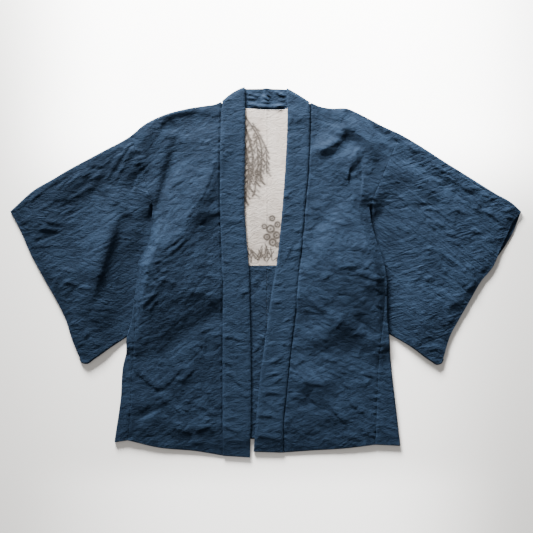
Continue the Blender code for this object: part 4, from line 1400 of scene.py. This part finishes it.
def ink_at(x, y):
    """How dark the painting is at the given places."""
    draw = np.random.default_rng(7)
    strokes = []
    for twig in TWIGS:
        path = trace([twig[0:2], twig[2:4], twig[4:6]], even(24))
        strokes.append(stroke_at(x, y, path, twig.width, twig.strength))
        long = lengths(path)[-1]
        feet = resample(path, np.arange(LEAF_START, long, LEAF_STEP) / long)
        for number, foot in enumerate(feet):
            turn = LEAF_LEAN if number % 2 else -LEAF_LEAN
            tip = tip_of(foot, LEAF_LENGTH, np.radians(-90 + turn + 12 * draw.normal()))
            strokes.append(stroke_at(x, y, [foot, tip], LEAF_WIDTH, draw.uniform(0.55, 1.0)))
    for blossom in BLOSSOMS:
        away = np.hypot(x - blossom.x, y - blossom.y)
        strokes.append(0.95 * np.exp(-((away - blossom.size) / RING_WIDTH) ** 2))
        strokes.append(np.exp(-(away / DOT_WIDTH) ** 2))
    for _ in range(BLADES):
        foot = (draw.uniform(*MEADOW_X), draw.uniform(*MEADOW_Y))
        lean = np.radians(90 + BLADE_LEAN * draw.normal())
        tip = tip_of(foot, draw.uniform(*BLADE_LENGTH), lean)
        strokes.append(stroke_at(x, y, [foot, tip], BLADE_WIDTH, BLADE_STRENGTH))
    ink = np.max(strokes, axis=0)
    for wash in WASHES:
        spread = ((x - wash.x) / wash.wide) ** 2 + ((y - wash.y) / wash.high) ** 2
        ink = ink + wash.strength * np.exp(-spread) * (0.7 + 0.3 * crinkle(x, y, 14, 18, 8))
    return np.clip(ink, 0, 1)


print(BLADES, "blades of grass")

# %% [markdown]
# Every point of the panel keeps its darkness as a number named ink, and the shader reads that and
# mixes brown-black into the silk. The silk itself is cloudy, faintly stained and softly folded.

# %% Pale silk
SILK_DARK, SILK_LIGHT = (0.232, 0.200, 0.177), (0.345, 0.320, 0.300)
INK = (0.016, 0.012, 0.009, 1)


def pale_lining():
    """Plain pale silk, with brown-black ink mixed in where the panel says so."""
    recipe = Recipe("pale_silk")
    place = recipe.node("ShaderNodeTexCoord", out=3)

    def noise(scale, detail=2.0, distortion=0.0):
        """Noise with a scale for each direction."""
        stretched = recipe.node("ShaderNodeMapping", {}, {0: place, 3: scale})
        return recipe.node("ShaderNodeTexNoise", {}, {
            0: stretched, "Scale": 1.0, "Detail": detail, "Roughness": 0.6,
            "Distortion": distortion})

    slubs = noise((260, 900, 260))
    clouds = noise((26, 26, 26), 3.0)
    stains = noise((9, 14, 9))
    away = recipe.sum("ABSOLUTE", (noise((40, 70, 40), 1.0, 1.4) - 0.5) * 8.0)
    folded = recipe.sum("MINIMUM", away, 1.0)
    painted = recipe.node("ShaderNodeAttribute", {"attribute_name": "ink"}, out=2)
    silk = recipe.node("ShaderNodeValToRGB",
                       {"stops": [(0.32, SILK_DARK), (0.66, SILK_LIGHT)]},
                       {0: clouds * 0.45 + slubs * 0.2 + stains * 0.35})
    dark = recipe.node("ShaderNodeMix", {"data_type": "RGBA"},
                       {0: painted * (0.80 + 0.2 * slubs), 6: silk, 7: INK}, out=2)
    relief = folded * 0.35 + clouds * 0.9 + slubs * 0.1
    bump = recipe.node("ShaderNodeBump", {}, {"Strength": 0.9, "Distance": 0.0006,
                                              "Height": relief})
    material = recipe.finish(base_color=dark, roughness=0.60 + (slubs - 0.5) * 0.1, normal=bump)
    recipe.shader.inputs["Specular IOR Level"].default_value = 0.15
    return material


SILK = pale_lining()
print("lining:", SILK.name)

# %% [markdown]
# ## The sleeves
# A haori sleeve is a wide flat bag: one length of cloth folded along its top, sewn to the body
# above and hanging free below. Laid flat, its upper leaf shows and its inner corner is pressed
# under the body. The long edge at the wrist is the sleeve's mouth and stays open. The leaves could
# be planes with a Solidify modifier on each; one tube that rolls over at top and foot shows a soft
# round fold there instead of two sharp rims.

# %% Make the sleeves
def make_sleeve(side, material):
    """A flat tube folded along its top, with its inner corner under the body."""
    outwards = np.array([side.turn * SEAM_GAP / 2, 0])
    leaf, outward, parting = top_fold(side)
    across = even(SLEEVE_COLUMNS)
    top = resample(leaf[:parting + 1], across)
    top_out = resample(np.column_stack([leaf, outward])[:parting + 1], across)[:, 2:]
    bottom_line = trace(side.foot, across)
    bottom_out = outward_of(bottom_line, side.apex)
    bottom = bottom_line - bottom_out * (ROLL + CLOTH / 2)
    leaves = []
    for cuff_table, (seam_steps, loose_steps) in ((side.cuff, SLEEVE_ROWS),
                                                  (side.under, UNDER_ROWS)):
        seam = trace([leaf[parting], side.apex], even(seam_steps))
        loose = np.linspace(side.apex, bottom[-1] - outwards, loose_steps + 1)
        inner = np.vstack([seam, loose[1:]]) + outwards
        down = shares(inner)
        top[-1] = inner[0]
        cuff = pin(trace(cuff_table, down), top[0], bottom[0])
        leaves.append(fill(top, bottom, cuff, inner, across, down))
    upper = lay(leaves[0], sleeve_height(side, leaves[0][..., 0], leaves[0][..., 1]))
    under = lay(leaves[1], FLAT)
    over_top = roll(under[0], upper[0], top_out)
    under_foot = roll(under[-1], upper[-1], bottom_out)
    piece = make_piece(f"sleeve_{side.name}_cloth", [upper, under, over_top, under_foot], CLOTH,
                       material)
    return piece


for side in (RIGHT, LEFT):
    make_sleeve(side, NAVY[f"{side.name}_sleeve"])


# %% [markdown]
# ## The body
# Each half of the body is one length of cloth from the front hem over the shoulder to the back
# hem, with no seam at the shoulder. Only the front shows much detail, so the back has far fewer
# rows and lies flat. It is laid in two sheets, one below the front and one below the neck.


def make_body(side, material):
    """Front and back of one side, in one length of cloth over the shoulder."""
    towards_centre = np.array([-side.turn * SEAM_GAP / 2, 0])
    leaf, outward, parting = top_fold(side)
    across = even(FRONT_COLUMNS)
    shoulder = resample(leaf[parting:], across)
    facing_out = resample(np.column_stack([leaf, outward])[parting:], across)[:, 2:]
    shoulder = pin(shoulder, shoulder[0] + towards_centre, shoulder[-1] - towards_centre)

    outer = body_edge(side, *FRONT_ROWS) + towards_centre
    inner = collar_seam(side) - towards_centre
    hem = pin(trace(side.hem, across), outer[-1], inner[-1])
    plan = fill(shoulder, hem, outer, inner, across, shares(outer))
    front = lay(plan, front_height(side, plan[..., 0], plan[..., 1]))

    outer_back = body_edge(side, *BACK_ROWS) + towards_centre
    down = shares(outer_back)
    foot_x = inner[-1][0]
    under_seam = trace([shoulder[-1], (foot_x, back_hem(foot_x))], down)
    foot_line = np.linspace(outer_back[-1], under_seam[-1], FRONT_COLUMNS + 1)
    plan = fill(shoulder, foot_line, outer_back, under_seam, across, down)
    back = lay(plan, back_height(side, plan[..., 0], plan[..., 1]))

    centre = CENTRE_X + side.turn * SEAM_GAP / 2
    neck = np.array([shoulder[-1], *half_neckline(side), (centre, NECK_Y)])
    neck[1:, 1] -= SEAM_GAP / 2
    middle = trace([neck[-1], (centre, BACK_HEM_Y)], down)
    foot_line = np.linspace(under_seam[-1], middle[-1], len(neck))
    plan = fill(neck, foot_line, under_seam, middle, even(len(neck) - 1), down)
    back_middle = lay(plan, back_height(side, plan[..., 0], plan[..., 1]))

    over_shoulder = roll(back[0], front[0], facing_out)
    piece = make_piece(f"body_{side.name}_cloth", [front, back, back_middle, over_shoulder],
                       CLOTH, material)
    return piece


for side in (RIGHT, LEFT):
    make_body(side, NAVY[f"{side.name}_front"])


# %% [markdown]
# ## The gussets
# A narrow strip is let in between front and back down each side, and folds in half along the
# jacket's edge. It takes its heights from the front and the back that it joins.

# %% Make the gussets
GUSSET_COLUMNS, GUSSET_CLEAR = 12, 1.0


def make_gusset(side, material):
    """The narrow strip between front and back, folded along the jacket's side."""
    steps = even(FRONT_ROWS[-1])
    seam = trace(side.gusset_seam, steps) + (side.turn * SEAM_GAP / 2, 0)
    edge_line = trace(side.gusset_edge, steps)
    for line in (seam, edge_line):
        line[0, 1] -= GUSSET_CLEAR
    outward = outward_of(edge_line, (0, edge_line[len(edge_line) // 2, 1]))
    edge = edge_line - outward * (ROLL + CLOTH / 2)
    share = even(GUSSET_COLUMNS)[None, :, None]
    plan = seam[:, None] * (1 - share) + edge[:, None] * share
    x, y = plan[..., 0], plan[..., 1]
    back = lay(plan, back_height(side, x, y))
    front = lay(plan, front_height(side, x, y))
    side_fold = roll(back[:, -1], front[:, -1], outward)
    piece = make_piece(f"gusset_{side.name}_cloth", [front, back, side_fold], CLOTH, material)
    return piece


for side in (RIGHT, LEFT):
    make_gusset(side, NAVY[f"{side.name}_front"])


# %% [markdown]
# ## Inside the back
# Between the fronts the inside of the back shows: a pale lining above, and the body cloth turned
# up from the hem below it. Both are flat panels that end under the collar band.

# %% Panels that end under the band
LINING_FOOT_Y, FACING_SET_IN, UNDERLAP = 15.0, 2.0, 24.0


def under_band(side, y):
    """Where the lining and facing end under the collar band at a given level."""
    seam = trace(side.seam, even(OUTLINE_STEPS))
    return np.interp(-y, -seam[:, 1], seam[:, 0]) - side.turn * UNDERLAP


def band_edge(side, y):
    """Where the collar band's free edge lies at a given level."""
    x_of, y_of = np.array(side.band).T
    return np.interp(-y, -y_of, x_of)


def inside_plan(side, top, foot, rows):
    """Rows of points from a top edge to a level foot, ending under the band."""
    start, end = top[0][0], top[-1][0]
    plan = []
    for share in even(rows):
        outer_x = under_band(side, top[0][1] + share * (foot - top[0][1]))
        x = outer_x + (top[:, 0] - start) / (end - start) * (end - outer_x)
        plan.append(np.column_stack([x, top[:, 1] + share * (foot - top[:, 1])]))
    return np.array(plan)


print("panels end", UNDERLAP, "mm under the band")

# %% [markdown]
# The lining's right half overlaps the left one a little at the centre seam, where it stands up in a
# low ridge. The ink is worked out at the points of the finished panel.

# %% Make the lining
LINING_COLUMNS, LINING_ROWS, OVERLAP, TUCK = 50, 236, 0.6, 0.25
CENTRE_RISE, CENTRE_SET, CENTRE_WIDTH = 0.30, 1.5, 2.5
INSIDE_LOWER, INSIDE_SINK = 0.3, 0.2
SILK_SWELL, SILK_RIPPLE = 0.22, 0.10


def make_lining(side, material):
    """Half of the back lining, where it shows between the collar bands."""
    x = np.linspace(under_band(side, NECK_Y), CENTRE_X - side.turn * OVERLAP, LINING_COLUMNS + 1)
    top = np.column_stack([x, np.interp(x, *np.array(NECKLINE).T) - SEAM_GAP])
    plan = inside_plan(side, top, LINING_FOOT_Y + SEAM_GAP / 2, LINING_ROWS)
    x, y = plan[..., 0], plan[..., 1]
    detail = SILK_SWELL * crinkle(x, y, 40, 26, 60) + SILK_RIPPLE * crinkle(x, y, 16, 12, 61)
    detail = detail + all_ridges(LINING_CREASES, x, y)
    detail = detail + CENTRE_RISE * np.exp(-((x - CENTRE_X + CENTRE_SET) / CENTRE_WIDTH) ** 2)
    detail = detail - (TUCK if side is LEFT else 0)
    height = keep_above(LINING_REST + detail - INSIDE_LOWER, LINING_REST - INSIDE_SINK)
    piece = make_piece(f"lining_{side.name}_cloth", [lay(plan, height)], LINING, material)
    spots = np.array([vertex.co for vertex in piece.data.vertices]) * METRE
    ink = piece.data.attributes.new("ink", "FLOAT", "POINT")
    ink.data.foreach_set("value", ink_at(spots[:, 0], spots[:, 1]).astype(np.float32))
    return piece


# %% [markdown]
# The turned-up cloth is deeply wrinkled where it shows, and pressed flat where the bands lie on it.

# %% Make the turned-up cloth
FACING_COLUMNS, FACING_ROWS, BAND_NEAR = 30, 170, 7.0


def make_facing(side, material):
    """Half of the body cloth turned up inside the back, below the lining."""
    level = LINING_FOOT_Y - SEAM_GAP / 2
    centre = CENTRE_X + side.turn * SEAM_GAP / 2
    x = np.linspace(under_band(side, level), centre, FACING_COLUMNS + 1)
    top = np.column_stack([x, np.full(len(x), level)])
    plan = inside_plan(side, top, BACK_HEM_Y + FACING_SET_IN, FACING_ROWS)
    x, y = plan[..., 0], plan[..., 1]
    from_bands = np.minimum(distance_to(RIGHT.band, x, y), distance_to(LEFT.band, x, y))
    inside = (x > band_edge(RIGHT, y)) & (x < band_edge(LEFT, y))
    shown = smooth_step(from_bands / BAND_NEAR) * inside
    detail = (all_ridges(WRINKLES["facing"], x, y) + crinkled(x, y, 70)) * shown
    height = keep_above(FACING_REST + detail - INSIDE_LOWER, FACING_REST - INSIDE_SINK)
    piece = make_piece(f"hem_facing_{side.name}_cloth", [lay(plan, height)], CLOTH, material)
    return piece


for side in (RIGHT, LEFT):
    make_lining(side, SILK)
    make_facing(side, NAVY["turned_up"])


# %% [markdown]
# ## The collar
# The collar is one long band of doubled cloth. It is sewn up one front, round the neck and down
# the other front. At the back of the neck it lies flat with its free edge away from the body, and
# at each shoulder it folds over to come forward onto the front, so the same side never shows
# twice. It is thicker than the body cloth and stands a little proud of its seam.

# %% Bands down the fronts
BAND_COLUMNS, NECK_STEPS, NECK_SHARE, BELOW_NECK = 28, 8, 0.7, 2.0
BAND_WIDTH, BAND_EDGE, BAND_DROP = 60.0, 2.6, 0.9
ACROSS = even(BAND_COLUMNS)[None, :, None]
BULGE = 4 * ACROSS[0] * (1 - ACROSS[0])


def band_sections(side):
    """The collar's sections down one front, from the fold at the neck to the hem."""
    sewn = collar_seam(side) - (side.turn * SEAM_GAP / 2, 0)
    free_edge = trace(side.band, even(OUTLINE_STEPS))
    fold_seam, fold_free = (np.array(spot) for spot in side.neck_fold)
    level = side.band[0].y
    seam_x = np.interp(-level, -sewn[:, 1], sewn[:, 0])
    sections = []
    for share in NECK_SHARE * even(NECK_STEPS):
        sections.append((blend(fold_seam, np.array([seam_x, level]), share),
                         blend(fold_free, np.array([side.band[0].x, level]), share)))
    lowest = sections[-1][0][1]
    hem = free_edge[-1][1]
    for spot in sewn[sewn[:, 1] < lowest - BELOW_NECK]:
        share = (level - spot[1]) / (level - sewn[-1][1])
        free_y = min(level, level - share * (level - hem))
        free_x = np.interp(-free_y, -free_edge[:, 1], free_edge[:, 0])
        sections.append((spot, (free_x, free_y)))
    return np.array(sections)


def plan_of(sections):
    """Rows of points across the band, from its sewn edge to its free one."""
    return sections[:, :1] * (1 - ACROSS) + sections[:, 1:] * ACROSS


def off_fold(side):
    """Direction in which the fold at one shoulder turns over, square to it."""
    seam_spot, free_spot = (np.array(spot) for spot in side.neck_fold)
    along = (free_spot - seam_spot) / np.hypot(*(free_spot - seam_spot))
    return np.array([-along[1], along[0]]) * -side.turn


def front_band(side):
    """The collar band down one front."""
    plan = plan_of(band_sections(side))
    plan[0] += side.neck_bow * BULGE * off_fold(side)
    band = lay(plan, collar_height(plan[..., 0], plan[..., 1]))
    from_edge = BAND_WIDTH * np.minimum(ACROSS[..., 0], 1 - ACROSS[..., 0])
    drop = BAND_DROP * np.exp(-(from_edge / BAND_EDGE) ** 2)
    band[..., 2] -= drop * (1 - past_hem(band[..., 0], band[..., 1]))
    band[0, :, 2] = COLLAR_REST
    return band


print("the band is", BAND_COLUMNS, "faces wide")

# %% [markdown]
# Behind the neck the band lies lower than on the fronts. The cloth is gathered at its centre, and
# its sewn edge stands up in a soft roll that dies away before the folds.

# %% Make the collar
NECK_ROWS, GATHER_RISE, GATHER_WIDTH = 150, 3.2, 7.0
NECK_CREASED, NECK_CRINKLED, NECK_SINK = 1.8, 0.6, 0.2
ROLL_RISE, ROLL_PLACE, ROLL_WIDTH, ROLL_SHOWN = 2.2, 8.0, 6.5, (28.0, 42.0)


def neck_band():
    """The collar band behind the neck, between the two shoulder folds."""
    neck_x, neck_y = np.array(NECKLINE).T
    sections = [[(row.seam_x, np.interp(row.seam_x, neck_x, neck_y) + SEAM_GAP / 2),
                 (row.free_x, row.free_y)] for row in BEHIND_NECK]
    knots = np.array([RIGHT.neck_fold, *sections, LEFT.neck_fold], float).reshape(-1, 4)
    fine = np.linspace(0, len(knots) - 1, NECK_ROWS + 1)
    columns = [np.interp(fine, np.arange(len(knots)), column) for column in knots.T]
    plan = plan_of(np.column_stack(columns).reshape(-1, 2, 2))
    for row, side in ((0, RIGHT), (-1, LEFT)):
        plan[row] += side.neck_bow * BULGE * off_fold(side)
    x, y = plan[..., 0], plan[..., 1]
    gather = GATHER_RISE * np.exp(-(x / GATHER_WIDTH) ** 2) * ACROSS[..., 0]
    detail = (NECK_CREASED * all_ridges(NECK_CREASES, x, y) + all_ridges(WRINKLES["band"], x, y)
              + NECK_CRINKLED * crinkled(x, y, 52))
    from_roll = (BAND_WIDTH * ACROSS[..., 0] - ROLL_PLACE) / ROLL_WIDTH
    detail = detail + ROLL_RISE * fade(np.abs(x), ROLL_SHOWN) * np.exp(-from_roll ** 2)
    detail[[0, -1]] = 0
    behind = lay(plan, keep_above(COLLAR_UNDER + gather + detail, COLLAR_UNDER - NECK_SINK))
    behind[[0, -1], :, 2] = COLLAR_UNDER
    return behind


def make_collar(material):
    """One long band, turned over at each shoulder to pass behind the neck."""
    right, left, behind = front_band(RIGHT), front_band(LEFT), neck_band()
    grids = [right, left, behind, roll(behind[0], right[0], off_fold(RIGHT)),
             roll(behind[-1], left[0], off_fold(LEFT))]
    piece = make_piece("collar_cloth", grids, BAND, material)
    return piece


make_collar(NAVY["collar"])

# %% [markdown]
# ## Floor, light and camera
# The jacket lies on a pale floor. Its paper has painted shade at both sides, most to the right.
# Beyond the collar, where much light falls, and below the hem, the floor glows softly: painted
# light, until it shows no shade at all, and the glow fades out further off. Each change has a row:
# where it starts and ends, in metres, and the values before and after it.

# %% Floor
FLOOR_HALF, PAINTED_LIGHT_STRENGTH, PLAIN_PAPER, BLUE_SHARE = 6.0, 5.5, 0.72, 0.99
Change = namedtuple("Change", "start end before after")
NEARBY = Change(0.90, 1.70, 1.0, 0.0)
PAINTED_LIGHT_ABOVE, PAINTED_LIGHT_BELOW = Change(0.08, 0.34, 0.0, 1.0), Change(-0.50, -0.40, 0.19, 0.0)
PAINTED_LIGHT_LEFT, PAINTED_LIGHT_RIGHT = Change(-0.64, -0.32, 0.0, 1.0), Change(0.44, 0.72, 1.0, 0.35)
MIDDLE = Change(0.15, 0.60, 1.0, 0.0)
PAINTED_SHADE_LEFT, PAINTED_SHADE_RIGHT = Change(-0.62, -0.40, 0.92, 1.0), Change(0.26, 0.62, 0.80, 0.44)


def floor_finish():
    """A pale floor with painted shade at its sides and painted light beyond the collar and below
    the hem.
    """
    plain = Recipe("floor_with_painted_light")
    place = plain.node("ShaderNodeTexCoord", out=3)
    aside = plain.node("ShaderNodeSeparateXYZ", {}, {0: place})
    up = plain.node("ShaderNodeSeparateXYZ", {}, {0: place}, out=1)
    away = plain.node("ShaderNodeVectorMath", {"operation": "LENGTH"}, {0: place}, out=1)

    def ramp(value, change):
        """A value that eases from one to another over a distance."""
        return plain.node("ShaderNodeMapRange", {"interpolation_type": "SMOOTHSTEP"},
                          {0: value, **dict(enumerate(change, 1))})

    def grey(value, blue):
        """Red and green alike, and blue apart."""
        return plain.node("ShaderNodeCombineXYZ", {}, {0: value, 1: value, 2: blue})

    near = ramp(away, NEARBY)
    # painted light: the floor glows beyond the collar and, more weakly, below the hem
    painted_glow = near * (ramp(up, PAINTED_LIGHT_ABOVE) * ramp(aside, PAINTED_LIGHT_LEFT) * ramp(aside, PAINTED_LIGHT_RIGHT)
                   + ramp(up, PAINTED_LIGHT_BELOW) * ramp(plain.sum("ABSOLUTE", aside), MIDDLE))
    # painted shade: the paper's colour is darker at both sides, most to the right
    paper_and_painted_shade = ramp(aside, PAINTED_SHADE_RIGHT) * ramp(aside, PAINTED_SHADE_LEFT)
    paper_and_painted_shade = PLAIN_PAPER + (paper_and_painted_shade - PLAIN_PAPER) * near
    plain.finish(base_color=grey(paper_and_painted_shade, paper_and_painted_shade * BLUE_SHARE), roughness=0.9,
                 emission_color=grey(painted_glow, painted_glow))
    plain.shader.inputs["Emission Strength"].default_value = PAINTED_LIGHT_STRENGTH
    plain.shader.inputs["Specular IOR Level"].default_value = 0.1
    return plain.material


def make_floor():
    """A wide floor, its finish with painted light and shade."""
    mesh = bpy.data.meshes.new("floor")
    corners = [(x * FLOOR_HALF, y * FLOOR_HALF, 0) for x, y in ((-1, -1), (1, -1), (1, 1), (-1, 1))]
    mesh.from_pydata(corners, [], [(0, 1, 2, 3)])
    mesh.materials.append(floor_finish())
    floor = bpy.data.objects.new("floor", mesh)
    bpy.context.collection.objects.link(floor)


make_floor()
print("floor:", 2 * FLOOR_HALF, "m wide")

# %% [markdown]
# A wide soft light comes in low from beyond the collar, a little from one side, as from a window.
# Light that skims the cloth is what shows creases, since a slope of a few degrees already halves
# what it catches. The sky fills the shadows a little, and the camera looks straight down.

# %% Lights and camera
WINDOW_AT, WINDOW_AIM, WINDOW_WATTS = (-0.65, 3.1, 0.63), (1.9, 0, 0), 970
SKY_STRENGTH, CAMERA_AT = 0.48, (0.0011, 0.0135, 1.671)


def add_light(name, kind, place, aim, **settings):
    """A lamp at a place, turned towards another place."""
    lamp = bpy.data.lights.new(name, kind)
    for setting, value in settings.items():
        setattr(lamp, setting, value)
    stand = bpy.data.objects.new(name, lamp)
    stand.location = place
    stand.rotation_euler = (Vector(aim) - Vector(place)).to_track_quat("-Z", "Y").to_euler()
    bpy.context.collection.objects.link(stand)


add_light("window", "AREA", WINDOW_AT, WINDOW_AIM, energy=WINDOW_WATTS,
          color=(1.0, 0.985, 0.96), shape="RECTANGLE", size=2.0, size_y=0.5,
          spread=np.radians(100))

world = bpy.data.worlds.new("sky")
bpy.context.scene.world = world
world.use_nodes = True
sky = world.node_tree.nodes["Background"]
sky.inputs["Color"].default_value = (1.0, 0.95, 0.90, 1)
sky.inputs["Strength"].default_value = SKY_STRENGTH

camera = bpy.data.cameras.new("camera")
camera.lens, camera.sensor_width = 50.0, 36.0
tripod = bpy.data.objects.new("camera", camera)
tripod.location = CAMERA_AT
bpy.context.collection.objects.link(tripod)
bpy.context.scene.camera = tripod
print("camera looks straight down from", round(tripod.location.z, 3), "m")
